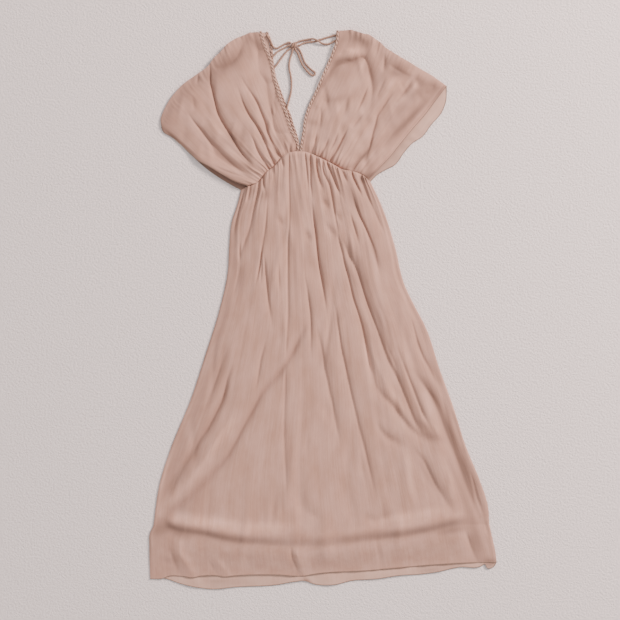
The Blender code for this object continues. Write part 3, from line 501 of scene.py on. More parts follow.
# Painted shade and painted light on the chiffon: places where its colour is darkened towards a
# shade tone, in part where it lies folded on itself, or lightened where the share is negative.
# A row is the middle of the place (x, y), the way its length runs in degrees from the X axis,
# its half length and half width, and how much of the painted shade tone it takes
PAINTED_SHADE_PLACES = (
    ((-258, 634), 42, 50, 25, 0.95),
    ((-300, 602), -80, 24, 9, 0.40),
    ((-190, 703), -45, 38, 16, 0.85),
    ((-150, 675), -65, 40, 10, 0.50),
    ((-145, 580), -82, 36, 8, 0.40),
    ((-345, 575), 45, 60, 18, 0.30),
    ((-375, 540), 55, 50, 16, 0.30),
    ((-398, 500), 60, 40, 16, 0.30),
    ((-395, 458), -40, 36, 8, 0.50),
    ((-208, 545), -72, 40, 8, 0.20),
    ((-228, 432), -58, 36, 8, 0.50),
    ((-225, 380), -32, 32, 8, 0.50),
    ((-118, 428), -60, 30, 10, 0.40),
    ((-225, 335), -28, 60, 10, 0.60),
    ((60, 647), 8, 40, 9, 0.75),
    ((28, 625), 58, 50, 10, 0.70),
    ((-5, 580), 55, 40, 8, 0.50),
    ((92, 704), -25, 44, 11, 0.65),
    ((45, 690), 70, 26, 9, 0.50),
    ((74, 669), 4, 30, 11, -1.50),
    ((172, 578), 60, 22, 14, -0.90),
    ((222, 584), 60, 20, 8, -0.80),
    ((224, 618), -30, 16, 8, -0.60),
    ((203, 520), 50, 44, 13, 0.70),
    ((100, 515), -70, 22, 8, -0.50),
    ((93, 470), 80, 26, 9, -0.60),
    ((-12, 515), -60, 26, 12, -0.50),
    ((-20, 445), 80, 22, 7, -0.60),
    ((35, 520), 60, 24, 9, -0.40),
    ((110, 625), 85, 32, 7, 0.50),
    ((70, 700), -10, 40, 10, 0.40),
    ((124, 520), 85, 36, 7, 0.40),
    ((-280, 470), -50, 40, 9, -0.70),
    ((-228, 399), -40, 28, 6, -0.70),
    ((-225, 447), -15, 22, 12, 0.50),
    ((-375, 438), -41, 60, 5, 1.00),
    ((118, 672), -60, 30, 9, 0.30),
    ((134, 600), -82, 50, 10, 0.50),
    ((-22, 545), 64, 60, 8, 0.25),
    ((192, 628), -48, 42, 22, 0.85),
    ((249, 592), -58, 28, 11, 1.20),
    ((250, 562), -40, 26, 13, 0.90),
    ((231, 574), 60, 16, 9, -0.80),
    ((188, 612), 0, 16, 11, 0.60),
    ((112, 652), -60, 16, 6, -0.60),
    ((112, 682), -60, 22, 13, 0.70),
    ((32, 674), 65, 20, 7, 0.50),
    ((290, 582), -35, 30, 18, 0.50),
    ((300, 556), 55, 34, 8, 0.70),
    ((236, 508), 47, 60, 10, 0.70),
    ((185, 455), 50, 40, 12, 0.45),
    ((222, 578), 50, 30, 7, 0.50),
    ((38, 545), 10, 28, 9, 0.50),
    ((-28, 487), -20, 24, 8, 0.50),
    ((125, 371), 60, 18, 9, 0.80),
    ((108, 402), 48, 30, 6, 0.70),
    ((128, 350), 25, 34, 9, 1.20),
    ((165, 376), 38, 34, 8, 1.20),
    ((-148, 296), 90, 13, 9, 0.70),
    ((-112, 320), 0, 16, 13, 0.25),
    ((-71, 245), 90, 75, 12, 0.50),
    ((-72, 100), 90, 90, 9, 0.45),
    ((-95, 150), 90, 60, 5, -0.40),
    ((-127, 70), 88, 60, 7, -0.40),
    ((-135, 300), 90, 22, 8, 0.50),
    ((41, -18), 90, 16, 9, 0.50),
    ((122, 308), -62, 50, 9, 0.50),
    ((80, 292), -62, 48, 18, 0.80),
    ((138, 140), -66, 44, 8, 0.70),
    ((78, 85), -68, 44, 7, 0.50),
    ((142, -15), -65, 44, 7, 0.50),
    ((118, -440), -75, 60, 12, 0.40),
    ((255, -175), -50, 30, 9, 0.50),
    ((285, -328), -20, 26, 10, 0.80),
    ((116, -120), -72, 50, 6, -0.60),
    ((-20, 398), -18, 36, 4, 0.30),
    ((18, 378), -28, 30, 4, 0.30),
    ((62, 359), -14, 24, 4, 0.60),
    ((85, 140), -58, 40, 11, 0.45),
    ((103, 80), -70, 50, 11, 0.35),
    ((158, -85), -68, 60, 8, 0.25),
    ((172, 110), -78, 110, 14, 0.20),
    ((212, -30), -73, 90, 16, 0.35),
    ((-5, -125), 80, 32, 10, 0.40),
    ((262, -300), -38, 38, 9, 0.60),
    ((268, -425), -60, 60, 9, 0.50),
    ((345, -440), -68, 70, 9, 0.50),
    ((322, -455), -65, 40, 7, -0.60),
    ((190, -230), -55, 50, 8, -0.70),
    ((270, -287), -45, 30, 6, -0.50),
    ((285, -215), -68, 56, 11, 0.80),
    ((330, -318), -66, 60, 11, 0.80),
    ((366, -420), -68, 60, 14, 0.60),
    ((372, -510), -70, 44, 18, 0.40),
    ((400, -590), -72, 50, 16, 0.80),
    ((435, -655), 0, 20, 12, 1.00),
    ((-250, -706), 0, 60, 7, 0.50),
    ((300, -674), 5, 60, 7, 0.50),
    ((335, -570), 10, 34, 10, 0.80),
    ((-372, -580), -12, 28, 9, 0.50),
    ((-422, -570), 12, 30, 15, 0.70),
    ((-402, -648), -20, 16, 9, 0.50),
    ((-76, -580), 0, 26, 10, 0.30),
    ((-42, -706), -40, 14, 7, 1.30),
    ((-70, -642), -68, 36, 8, -0.90),
    ((-370, -618), -55, 36, 14, -0.60),
    ((-340, -665), -65, 30, 9, -0.50),
    ((-258, -664), -50, 28, 8, -0.50),
    ((-395, -488), 48, 46, 16, -0.90),
    ((-345, -442), 46, 60, 16, -0.50),
    ((-258, -325), 52, 60, 14, -0.50),
    ((-412, -415), 75, 60, 6, -1.20),
    ((-355, -260), 70, 80, 4, -0.80),
    ((-290, -546), -8, 110, 13, -1.10),
    ((-112, -525), 90, 24, 10, -0.50),
    ((-125, -558), 0, 60, 12, -0.70),
    ((165, -542), 12, 36, 10, -0.60),
    ((250, -528), 9, 80, 12, -0.70),
    ((326, -238), -64, 50, 7, -0.50),
    ((360, -340), -66, 50, 6, -0.50))
# The tone that painted shade darkens the chiffon towards, the crease depth over which it builds up,
# and the most of it that a point takes
PAINTED_SHADE_TONE = "966e60"
CREASE_SHADE_DEPTH = 14.0
PAINTED_SHADE_MOST = 1.3
# How dark the back of each sleeve is where it lies in the shade of the front's edge, how far
# the shade reaches, and from what share of the sleeve's length down and along what share it rises
SLEEVE_SHADE = {"left": 1.0, "right": 0.4}
SLEEVE_SHADE_REACH = 34.0
SLEEVE_SHADE_RISE = (0.3, 0.4)
# The darker tone of the skirt's sides, where no lining lies under it, and the painted shade at
# the lining's hem, in part for the layers folded there
UNLINED = {"left": 0.15, "right": 0.25}
LINING_HEM_SHADE = 0.80
LINING_HEM_MIDDLE = -8.0
LINING_HEM_REACH = 13.0

# Neck ties, each as the angle at which it leaves the knot, if it starts there, its route of
# points (x, y, height of the cord's middle), and the angle at which it comes back to the knot
TIES = {
    "tie_left_standing": (
        None,
        ((-146, 714, 3.4), (-143, 709, 3.4), (-136, 698, 3.4), (-131, 686, 3.4),
         (-126, 680.5, 3.0), (-120, 680, 2.3), (-110, 685, 2.1), (-99, 691, 2.1)),
        150),
    "tie_left_loop": (
        186,
        ((-99, 681.5, 2.1), (-110, 676, 2.2), (-120, 669, 3.1), (-128, 660, 3.4),
         (-138, 650, 3.4), (-144, 640, 3.4), (-142, 629, 3.4), (-133, 625, 3.4),
         (-124, 632, 3.4), (-118, 640, 3.1), (-112, 649, 2.2), (-104, 660, 2.1),
         (-95, 671, 2.1)),
        219),
    "tie_left_tail": (
        252,
        ((-81, 666, 2.1), (-85, 654, 2.1), (-88, 637, 2.1), (-87, 623, 2.1), (-84, 610, 2.1),
         (-82, 593, 2.1), (-82, 577, 2.1), (-84, 562, 2.3), (-88, 547, 3.1), (-91, 536, 3.4),
         (-96, 515, 3.4), (-101, 493, 3.4)),
        None),
    "tie_right_standing": (
        None,
        ((54, 703, 3.4), (44, 702, 3.4), (34, 700, 3.3), (23, 695, 2.6), (14, 691, 2.2),
         (3, 691, 2.8), (-6, 694, 4.6), (-15, 699, 6.6), (-23, 703, 5.2), (-33, 704, 2.8),
         (-44, 702, 2.1), (-55, 700, 2.1)),
        40),
    "tie_right_tail": (
        358,
        ((-52, 692.5, 2.1), (-40, 695.5, 2.1), (-29, 696.5, 2.1), (-19, 698, 2.1),
         (-12, 701, 2.1), (-2, 704, 2.1), (10, 708, 2.1), (21, 711, 2.4), (29, 713, 3.2),
         (36, 713.5, 3.4), (46, 713, 3.4)),
        None),
    "tie_right_loop": (
        286,
        ((-66, 668, 2.1), (-62, 658, 2.1), (-58, 647, 2.1), (-52.5, 636, 2.1), (-43, 623, 2.1),
         (-34.5, 614, 2.1), (-28, 609.5, 2.1), (-21.5, 611, 2.1), (-21, 617, 2.1),
         (-28, 622.5, 2.1), (-37, 631, 2.1), (-46, 641, 2.1), (-51.5, 653, 2.1),
         (-55.5, 664, 2.1), (-59.5, 673, 2.1)),
        322),
}


def curve(points):
    """A smooth curve through the points, as a function of a fraction of its length."""
    points = np.array(points, float)
    steps = np.linalg.norm(np.diff(points, axis=0), axis=1)
    knots = np.concatenate(([0.0], np.cumsum(steps))) / steps.sum()
    slopes = np.gradient(points, knots, axis=0)

    def at(fraction):
        fraction = np.clip(np.atleast_1d(np.asarray(fraction, float)), 0.0, 1.0)
        i = np.clip(np.searchsorted(knots, fraction, side="right") - 1, 0, len(knots) - 2)
        span = (knots[i + 1] - knots[i])[:, None]
        u = (fraction[:, None] - knots[i][:, None]) / span
        return ((2 * u ** 3 - 3 * u ** 2 + 1) * points[i] + (3 * u ** 2 - 2 * u ** 3) * points[i + 1]
                + span * ((u ** 3 - 2 * u ** 2 + u) * slopes[i] + (u ** 3 - u ** 2) * slopes[i + 1]))
    return at


def line_length(points):
    return np.linalg.norm(np.diff(np.array(points, float), axis=0), axis=1).sum()


def stretch(line, start, end):
    """The part of a curve between two fractions of its length."""
    return lambda fraction: line(start + (end - start) * np.atleast_1d(fraction))


def to_the_left(run):
    """Unit vectors in the plane, square to the left of the given ones."""
    run = run / np.linalg.norm(run, axis=1)[:, None]
    return np.stack((-run[:, 1], run[:, 0]), axis=1)


def beside(line, distance):
    """The curve that runs beside another in the plane, to its left where distance is above 0."""
    def at(fraction):
        fraction = np.atleast_1d(fraction)
        ahead = line(np.minimum(fraction + 0.002, 1.0)) - line(np.maximum(fraction - 0.002, 0.0))
        return line(fraction) + distance * to_the_left(ahead)
    return at


def moved(line, dx, dy):
    return lambda fraction: line(fraction) + np.array((dx, dy))


def fraction_at_x(line, x):
    """Where a curve that runs steadily to the right reaches a given x."""
    steps = np.linspace(0.0, 1.0, 801)
    return float(np.interp(x, line(steps)[:, 0], steps))


def joined(side, top, bottom, end):
    """A side edge, shifted evenly along its length so that it meets the top and the bottom."""
    at_top = top(end) - side(0.0)
    at_bottom = bottom(end) - side(1.0)

    def at(fraction):
        fraction = np.atleast_1d(fraction)[:, None]
        return side(fraction[:, 0]) + (1 - fraction) * at_top + fraction * at_bottom
    return at


def patch(top, bottom, left, right):
    """A sheet between four edge curves, as a function of fractions across and down."""
    corners = [top(0.0), top(1.0), bottom(0.0), bottom(1.0)]

    def at(across, down):
        a, d = across[:, None], down[:, None]
        ruled = (1 - d) * top(across) + d * bottom(across) + (1 - a) * left(down) + a * right(down)
        return ruled - ((1 - a) * (1 - d) * corners[0] + a * (1 - d) * corners[1]
                        + (1 - a) * d * corners[2] + a * d * corners[3])
    return at


def ease(x):
    """A smooth rise from 0 at 0 to 1 at 1."""
    x = np.clip(x, 0.0, 1.0)
    return x * x * (3 - 2 * x)


def round_over(x):
    """A rise from 0 at 0 to 1 at 1 that is steep at first, as over a folded edge."""
    return np.sqrt(1 - (1 - np.clip(x, 0.0, 1.0)) ** 2)


def swell_from_edge(distance, slope):
    """A rise from 0 at a panel's edge to 1: a small step at the rim, then a long gentle slope."""
    return RIM_SHARE * round_over(distance / RIM) + (1 - RIM_SHARE) * ease(distance / slope)


def settled(relief):
    """The relief, rounded off where it would sink below the layer that it lies on."""
    return np.logaddexp(0.0, relief / RELIEF_ROUNDING) * RELIEF_ROUNDING


def pinched(from_seam):
    """How much of the relief a gathered seam leaves beside it."""
    return SEAM_PINCH + (1 - SEAM_PINCH) * round_over(from_seam / SEAM_PINCH_REACH)


def off_path(points, path, steps=24):
    """How far each point lies to the left of a path, and where along it, from 0 to 1."""
    line = curve(path)(np.linspace(0.0, 1.0, steps + 1))
    best = np.full(len(points), np.inf)
    side = np.zeros(len(points))
    along = np.zeros(len(points))
    for i in range(steps):
        run = line[i + 1] - line[i]
        share = np.clip((points - line[i]) @ run / (run @ run), 0.0, 1.0)
        gap = points - line[i] - share[:, None] * run
        distance = np.linalg.norm(gap, axis=1)
        nearer = distance < best
        best = np.where(nearer, distance, best)
        side = np.where(nearer, np.sign(run[0] * gap[:, 1] - run[1] * gap[:, 0]), side)
        along = np.where(nearer, (i + share) / steps, along)
    return best * side, along


def fades(path, along):
    """How a crease comes and goes along its path. An end on a seam or hem stays full."""
    share = min(CREASE_FADE_MOST, CREASE_FADE / line_length(path))
    fade = np.ones(len(along))
    for end, gone in ((path[0], along), (path[-1], 1 - along)):
        point = np.array([end], float)
        held = min(np.abs(off_path(point, line)[0][0]) for line in (WAIST_SEAM, FRONT_HEM))
        if held > SEAM_REACH:
            fade *= ease(gone / share)
    return fade


def facing_window(path, along):
    """How far the left side of a path lies towards the window, from -1 to 1."""
    steps = np.linspace(0.0, 1.0, 25)
    run = np.gradient(curve(path)(steps), axis=0)
    return np.interp(along, steps, to_the_left(run) @ np.array(WINDOW_SIDE))


def spread(shares, along):
    """How wide a crease is along its path, as a share of the width that its row gives."""
    start, added = shares
    return start + added * along


def creased(points, creases):
    """How far a table of ridges and creases raises and sinks the cloth at each point.

    A crease has soft flanks and a narrow slit. Its row follows its dark flank, the one on the
    window's side, so its bottom lies beside the row. Where creases meet, the deeper one rules,
    so that the cloth still rises between them.
    """
    raised = np.zeros(len(points))
    sunk = np.zeros(len(points))
    for path, height, slit, left, right in creases:
        reach = CREASE_SIGHT * max(left, right)
        low = np.min(path, axis=0) - reach
        high = np.max(path, axis=0) + reach
        near = np.all((points > low) & (points < high), axis=1)
        offset, along = off_path(points[near], path)
        facing = facing_window(path, along)
        soft_share = abs(height) / (abs(height) + slit)
        offset += CREASE_SHADE_OFFSET * soft_share * facing * np.where(facing > 0, left, right)
        flank = np.where(offset > 0, left, right) * spread(FLANK_SPREAD, along)
        soft = np.exp(-(np.sqrt(offset ** 2 + CREASE_ROUNDING ** 2) - CREASE_ROUNDING) / flank)
        narrow = np.exp(-(offset / (CREASE_SLIT_WIDTH * spread(SLIT_SPREAD, along))) ** 2)
        size = (abs(height) * soft + slit * narrow) * fades(path, along)
        if height > 0:
            raised[near] += size
        else:
            sunk[near] += size ** CREASE_MERGE
    return raised, sunk ** (1 / CREASE_MERGE)


def crease_height(points, creases):
    raised, sunk = creased(points, creases)
    return raised - sunk


def painted_shade(creases, layers_and_shade=None):
    """How much painted shade the chiffon takes at each point, up to a set most, or painted light
    below 0.

    Its creases take painted shade, in part for the cloth lying folded on itself there, and so
    do the places of the table, whose negative rows paint light. The second argument adds the
    tone of the layers under the cloth and the painted shade at the lining's hem.
    """
    def at(across, down, points):
        # Painted shade in the creases, more the deeper they sink
        amount = 1 - np.exp(-creased(points, creases)[1] / CREASE_SHADE_DEPTH)
        if layers_and_shade is not None:
            amount += layers_and_shade(across, down)
        # Painted shade, and painted light for negative shares, over the table's places
        for middle, turn, length, width, share in PAINTED_SHADE_PLACES:
            gap = points - np.array(middle)
            lie = math.radians(turn)
            along = gap[:, 0] * math.cos(lie) + gap[:, 1] * math.sin(lie)
            aside = gap[:, 1] * math.cos(lie) - gap[:, 0] * math.sin(lie)
            amount += share * np.exp(-(along / length) ** 2 - (aside / width) ** 2)
        return np.minimum(amount, PAINTED_SHADE_MOST)
    return at


def dents(seed, count, height, width, length, plan):
    """Shallow hollows and swells here and there, longer down the cloth than across.

    They lean outwards from the dress's middle, as the cloth's folds do.
    """
    chance = np.random.default_rng(seed)
    low, high = plan.min(axis=0), plan.max(axis=0)
    total = np.zeros(len(plan))
    for _ in range(count):
        centre = chance.uniform(low, high)
        wide = width * chance.uniform(*DENT_SIZES)
        long = length * chance.uniform(*DENT_SIZES)
        lean = DENT_LEAN * (centre[0] - DRESS_MIDDLE) + chance.normal(0.0, DENT_LEAN_SPREAD)
        gap = plan - centre
        total += height * chance.uniform(*DENT_HEIGHTS) * np.exp(
            -((gap[:, 0] + lean * gap[:, 1]) / wide) ** 2 - (gap[:, 1] / long) ** 2)
    return total


def gathers(seed, pitch, height, width, reach, across, from_seam):
    """Short unequal folds along a seam. across and from_seam are in millimetres."""
    chance = np.random.default_rng(seed)
    total = np.zeros(len(across))
    for centre in np.arange(across.min(), across.max(), pitch):
        centre += pitch * chance.uniform(*GATHER_SHIFTS)
        tall = height * chance.uniform(*GATHER_HEIGHTS)
        wide = width * chance.uniform(*GATHER_WIDTHS)
        long = reach * chance.uniform(*GATHER_REACHES)
        lean = chance.normal(0.0, GATHER_LEAN_SPREAD)
        offset = across - centre - lean * from_seam
        total += tall * np.exp(-(offset / wide) ** 2 - (from_seam / long) ** 2)
    return total


def long_pleats(seed, count, height, width, across, down):
    """Long shallow pleats that come and go down a panel. across is in millimetres."""
    chance = np.random.default_rng(seed)
    total = np.zeros(len(across))
    for _ in range(count):
        centre = chance.uniform(across.min(), across.max())
        middle = chance.uniform(*PLEAT_MIDDLES)
        extent = chance.uniform(*PLEAT_EXTENTS)
        tall = height * chance.uniform(*PLEAT_HEIGHTS)
        wide = width * chance.uniform(*PLEAT_WIDTHS)
        most_sway = chance.uniform(*PLEAT_SWAYS) * width
        sway = most_sway * np.sin(PLEAT_SWAY_RATE * down + chance.uniform(*PLEAT_SWAY_STARTS))
        total += tall * np.exp(-((across - centre - sway) / wide) ** 2
                               - ((down - middle) / extent) ** 2)
    return total


def off_knot(angle, distance):
    """A point at a distance from the knot's side, at the height of a tie's middle."""
    turn = math.radians(angle)
    a, b = KNOT_HALF_SIZE[:2]
    radius = distance + a * b / math.hypot(b * math.cos(turn), a * math.sin(turn))
    return (KNOT_CENTRE[0] + radius * math.cos(turn), KNOT_CENTRE[1] + radius * math.sin(turn),
            TIE_HEIGHT_AT_KNOT)


def tie_route(leaves, route, returns):
    """A tie's whole route, with its ends brought up to the knot."""
    route = list(route)
    if leaves is not None:
        route = [off_knot(leaves, KNOT_GAP), off_knot(leaves, KNOT_RUN_OUT)] + route
    if returns is not None:
        route += [off_knot(returns, KNOT_RUN_OUT), off_knot(returns, KNOT_GAP)]
    return np.array(route)


def tie_lift(points):
    """The lowest the front may lie over the ties that pass between it and the back."""
    nearest = np.full(len(points), np.inf)
    for tie in TIES.values():
        offset, _ = off_path(points, tie_route(*tie)[:, :2])
        nearest = np.minimum(nearest, np.abs(offset))
    rise = 1 - ease((nearest - TIE_LIFT_NEAR) / (TIE_LIFT_FAR - TIE_LIFT_NEAR))
    return EDGE_LEVEL + TIE_CLEARANCE * rise


def upper_skirt(seam):
    """The skirt from its waist seam down to the line of the lining's hem."""
    return patch(moved(curve(seam), 0, -SEAM_GAP / 2), curve(LINING_LINE), curve(SKIRT_LEFT),
                 curve(SKIRT_RIGHT))


def lower_skirt(hem):
    """The skirt from the line of the lining's hem down to its own."""
    return patch(curve(LINING_LINE), curve(hem), curve(SKIRT_LEFT_HEM), curve(SKIRT_RIGHT_HEM))


SKIRT_FRONT = (upper_skirt(WAIST_SEAM), lower_skirt(FRONT_HEM))
SKIRT_BACK = (upper_skirt(BACK_SEAM), lower_skirt(BACK_HEM))


def skirt_rows(down):
    """Rows of the skirt: 0 to 1 from the waist to the lining's hem line, 1 to 2 below it."""
    return np.interp(down, ROW_SHARES, ROW_PLACES)


def skirt_plan(panel, across, row):
    upper, lower = panel
    return np.where((row <= 1.0)[:, None], upper(across, np.minimum(row, 1.0)),
                    lower(across, np.maximum(row - 1.0, 0.0)))


def skirt_width(row):
    row = np.minimum(row, 1.0)
    return np.linalg.norm(SKIRT_FRONT[0](np.ones_like(row), row)
                          - SKIRT_FRONT[0](np.zeros_like(row), row), axis=1)


def lining_insets(row):
    """The lining's distance inside the skirt's left and right edge."""
    row = np.minimum(row, 1.0)
    left = LINING_INSET_WAIST + (LINING_INSET_LEFT_HEM - LINING_INSET_WAIST) * row
    right = LINING_INSET_WAIST + (LINING_INSET_RIGHT_HEM - LINING_INSET_WAIST) * row ** 2
    return left, right


def off_lining_hem(row):
    """Distance down the cloth from the lining's hem line, above it where negative."""
    return np.where(row < 1.0, (row - 1.0) * UPPER_SKIRT_LENGTH, (row - 1.0) * LOWER_SKIRT_LENGTH)


def over_lining(across, row):
    """How far the skirt's front lies on the lining, from 0 at the dress's sides to 1."""
    width = skirt_width(row)
    start, run = LINING_EDGE
    left_inset, right_inset = lining_insets(row)
    return np.minimum(ease((across * width / left_inset - start) / run),
                      ease(((1 - across) * width / right_inset - start) / run))


def off_middle(x):
    """How strongly the lining's hem shows: less in the middle of the skirt."""
    aside = np.abs(x - LINING_RIDGE_MIDDLE) / LINING_RIDGE_REACH
    return LINING_RIDGE_LEAST + (1 - LINING_RIDGE_LEAST) * ease(aside)


def skirt_layers_and_shade(across, down):
    """What the layers under the skirt's front add to its tone, and painted shade.

    That is a little at the sides, where no lining lightens it, and more as painted shade along
    the lining's hem, in part for the layers folded there.
    """
    row = skirt_rows(down)
    bare = np.where(across < 0.5, UNLINED["left"], UNLINED["right"]) * (row < 1.0)
    lined = over_lining(across, row)
    plan = skirt_plan(SKIRT_FRONT, across, row)
    # Painted shade in a band along the lining's hem
    past_hem = (off_lining_hem(row) - LINING_HEM_MIDDLE) / LINING_HEM_REACH
    return bare * (1 - lined) + (
        LINING_HEM_SHADE * lined * off_middle(plan[:, 0]) * np.exp(-past_hem ** 2))


def front_skirt(across, down):
    """Underside of the skirt's front: over the lining, down at the sides and below its hem."""
    row = skirt_rows(down)
    plan = skirt_plan(SKIRT_FRONT, across, row)
    from_side = np.minimum(across, 1 - across) * skirt_width(row)
    beyond = off_lining_hem(row)
    below = 1 - ease((beyond + LINING_DROP_START) / LINING_DROP_WIDTH)
    ridge = LINING_RIDGE * off_middle(plan[:, 0]) * ease(1 + beyond / LINING_RIDGE_RISE) * below
    lining_top = ((PLATEAU_LEVEL - EDGE_LEVEL) * below + ridge) * over_lining(across, row)
    from_seam = row * UPPER_SKIRT_LENGTH
    crown = SKIRT_CROWN * swell_from_edge(from_side, SKIRT_SLOPE)
    puff = WAIST_PUFF * np.exp(-from_seam / WAIST_PUFF_REACH) * ease(from_side / WAIST_PUFF_INSET)
    at_seam = across * skirt_width(np.zeros(1))[0] * SKIRT_SEAM_FULLNESS
    small = (gathers(SKIRT_SEED, *SKIRT_SHORT_FOLDS, at_seam, from_seam)
             + gathers(SKIRT_SEED + 1, *SKIRT_LONG_FOLDS, at_seam, from_seam)
             + long_pleats(SKIRT_SEED + 2, *SKIRT_PLEATS, at_seam, row / 2)
             + dents(SKIRT_SEED + 3, *SKIRT_DENTS, plan))
    relief = crown + puff + (
        crease_height(plan, SKIRT_CREASES) + small) * ease(from_side / SKIRT_RELIEF_INSET)
    to_hem = ease((row - HEM_SETTLE_START) / (2 - HEM_SETTLE_START))
    height = settled(relief) * pinched(from_seam) * (1 - HEM_SETTLE * to_hem)
    return np.column_stack((plan, EDGE_LEVEL + lining_top + height))


def back_skirt(across, down):
    """Underside of the skirt's back, which ripples a little where it shows below the front."""
    plan = skirt_plan(SKIRT_BACK, across, skirt_rows(down))
    offset, _ = off_path(plan, FRONT_HEM, 60)
    shown = ease(-offset / BACK_HEM_SHOWN) * (plan[:, 1] < BACK_SHOWN_BELOW)
    x = plan[:, 0]
    sway = BACK_HEM_SWAY * np.sin(x / BACK_HEM_SWAY_WAVE)
    ripple = BACK_HEM_RIPPLE + np.sin(x / BACK_HEM_WAVE + sway)
    return np.column_stack((plan, BACK_LEVEL + shown * ripple))


def lining(level):
    """A lining panel: the skirt's own upper stretch, drawn in from its sides and hem line."""
    def at(across, down):
        row = LINING_TOP + (LINING_HEM - LINING_TOP) * down
        width = skirt_width(row)
        left_inset, right_inset = lining_insets(row)
        start = left_inset / width
        end = 1 - right_inset / width
        plan = SKIRT_FRONT[0](start + (end - start) * across, row)
        return np.column_stack((plan, np.full(len(plan), level)))
    return at


def neck_level(y):
    """Underside of the front along the neckline, which rises to the waist seam."""
    return PLATEAU_LEVEL - NECK_DROP * ease((y - NECK_DROP_START) / NECK_DROP_LENGTH)


def bodice_edges(side, face):
    """Top, waist, sleeve and neck edge of a bodice panel. Every corner meets."""
    shoulder = curve(SHOULDERS[side])
    cuff = curve(CUFFS[side, face])
    neck = beside(curve(NECKLINES[side, face]), OUTWARD[side] * (BRAID_WIDTH + SEAM_GAP))
    neck_x = neck(0.0)[0, 0]
    if side == "left":
        rightward = stretch(shoulder, LEFT_SHOULDER_TURN, 1.0)
        at_neck = LEFT_SHOULDER_TURN + (1 - LEFT_SHOULDER_TURN) * fraction_at_x(rightward, neck_x)
        top = stretch(shoulder, 0.0, at_neck)
    else:
        top = stretch(shoulder, 1.0, fraction_at_x(shoulder, neck_x))
    seam = curve(SEAMS[face])
    start = fraction_at_x(seam, cuff(1.0)[0, 0])
    end = fraction_at_x(seam, neck(1.0)[0, 0])
    waist = stretch(moved(seam, 0, SEAM_GAP / 2), start, end)
    return top, waist, joined(cuff, top, waist, 0.0), joined(neck, top, waist, 1.0)


def bodice_folds(seed, plan, across, down):
    """The small folds of a front bodice panel: gathers at its waist and shoulder, and dents."""
    from_shoulder = down * BODICE_REACH
    to_waist = (1 - down) * BODICE_REACH
    at_waist = across * BODICE_WAIST
    scalloped = ease((SCALLOP_REACH - np.abs(plan[:, 0] - DRESS_MIDDLE)) / SCALLOP_FADE)
    return (gathers(seed, *WAIST_SHORT_FOLDS, at_waist, to_waist)
            + gathers(seed + 1, *WAIST_LONG_FOLDS, at_waist, to_waist)
            + gathers(seed + 2, *SHOULDER_FOLDS, at_waist * SHOULDER_FULLNESS, from_shoulder)
            + scalloped * gathers(seed + 5, *SHOULDER_SCALLOPS, across * BODICE_REACH,
                                  from_shoulder)
            + long_pleats(seed + 3, *BODICE_PLEATS, at_waist, down)
            + dents(seed + 4, *BODICE_DENTS, plan))


def front_bodice(side):
    """Underside of a front bodice panel, gathered at the shoulder and blousing over the waist."""
    plan_at = patch(*bodice_edges(side, "front"))
    cuff_lift = CUFF_LIFTS[side]
    groove_depth = HEM_GROOVE * (1 - ease(cuff_lift / HEM_GROOVE_HIDDEN))

    def at(across, down):
        plan = plan_at(across, down)
        width = BODICE_REACH * (1 - BODICE_TAPER * down)
        inward = np.minimum(across * width, (down + SHOULDER_SLANT * across ** 2) * BODICE_REACH)
        rise = ease(inward / SLEEVE_RAMP)
        crown = BODICE_CROWN * np.minimum(swell_from_edge(inward, BODICE_SLOPE),
                                          ease((1 - across) * width / NECK_SLOPE))
        settle = ease((down - WAIST_SETTLE_START) / (1 - WAIST_SETTLE_START))
        plateau = neck_level(plan[:, 1]) * (1 - settle) + PLATEAU_LEVEL * settle
        to_waist = (1 - down) * BODICE_REACH
        blouse = BLOUSE * np.exp(-((to_waist - BLOUSE_CENTRE) / BLOUSE_REACH) ** 2)
        off_groove = (across * BODICE_REACH - HEM_WIDTH) / HEM_GROOVE_WIDTH
        folds = crease_height(plan, CREASES[side]) + bodice_folds(
            BODICE_SEEDS[side], plan, across, down)
        relief = crown + blouse - groove_depth * np.exp(-off_groove ** 2) + folds * (
            SLEEVE_EDGE_RELIEF + (1 - SLEEVE_EDGE_RELIEF) * rise)
        lifted = cuff_lift * (1 - rise) * ease((down - CUFF_LIFT_START) / CUFF_LIFT_RUN)
        under = EDGE_LEVEL + (plateau - EDGE_LEVEL) * rise + settled(relief) * pinched(to_waist)
        return np.column_stack((plan, np.maximum(under + lifted, tie_lift(plan))))
    return at


def off_front_cuff(side, points):
    """How far points lie outside the free edge of a front sleeve."""
    offset, _ = off_path(points, CUFFS[side, "front"], 40)
    return OUTWARD[side] * offset


def back_bodice(side):
    """Underside of a back bodice panel, rippled where it shows beside the front's sleeve edge."""
    plan_at = patch(*bodice_edges(side, "back"))

    def at(across, down):
        plan = plan_at(across, down)
        shown = ease(off_front_cuff(side, plan) / BACK_SLEEVE_SHOWN)
        ripple = BACK_SLEEVE_RIPPLE + gathers(BODICE_SEEDS[side] + 9, *SLEEVE_RIPPLES,
                                              down * BACK_SLEEVE_LENGTH, np.zeros(len(across)))
        return np.column_stack((plan, BACK_LEVEL + shown * ripple))
    return at


def sleeve_shade(side):
    """How dark the back of a sleeve is at each point: most beside the front's edge."""
    def at(across, down, points):
        near = np.exp(-(off_front_cuff(side, points) / SLEEVE_SHADE_REACH) ** 2)
        start, run = SLEEVE_SHADE_RISE
        return SLEEVE_SHADE[side] * near * ease((down - start) / run)
    return at


def srgb(code):
    """The linear colour of an sRGB hex code, with its alpha."""
    parts = [int(code[i:i + 2], 16) / 255 for i in (0, 2, 4)]
    linear = [part / 12.92 if part <= 0.04045 else ((part + 0.055) / 1.055) ** 2.4
              for part in parts]
    return (*linear, 1.0)


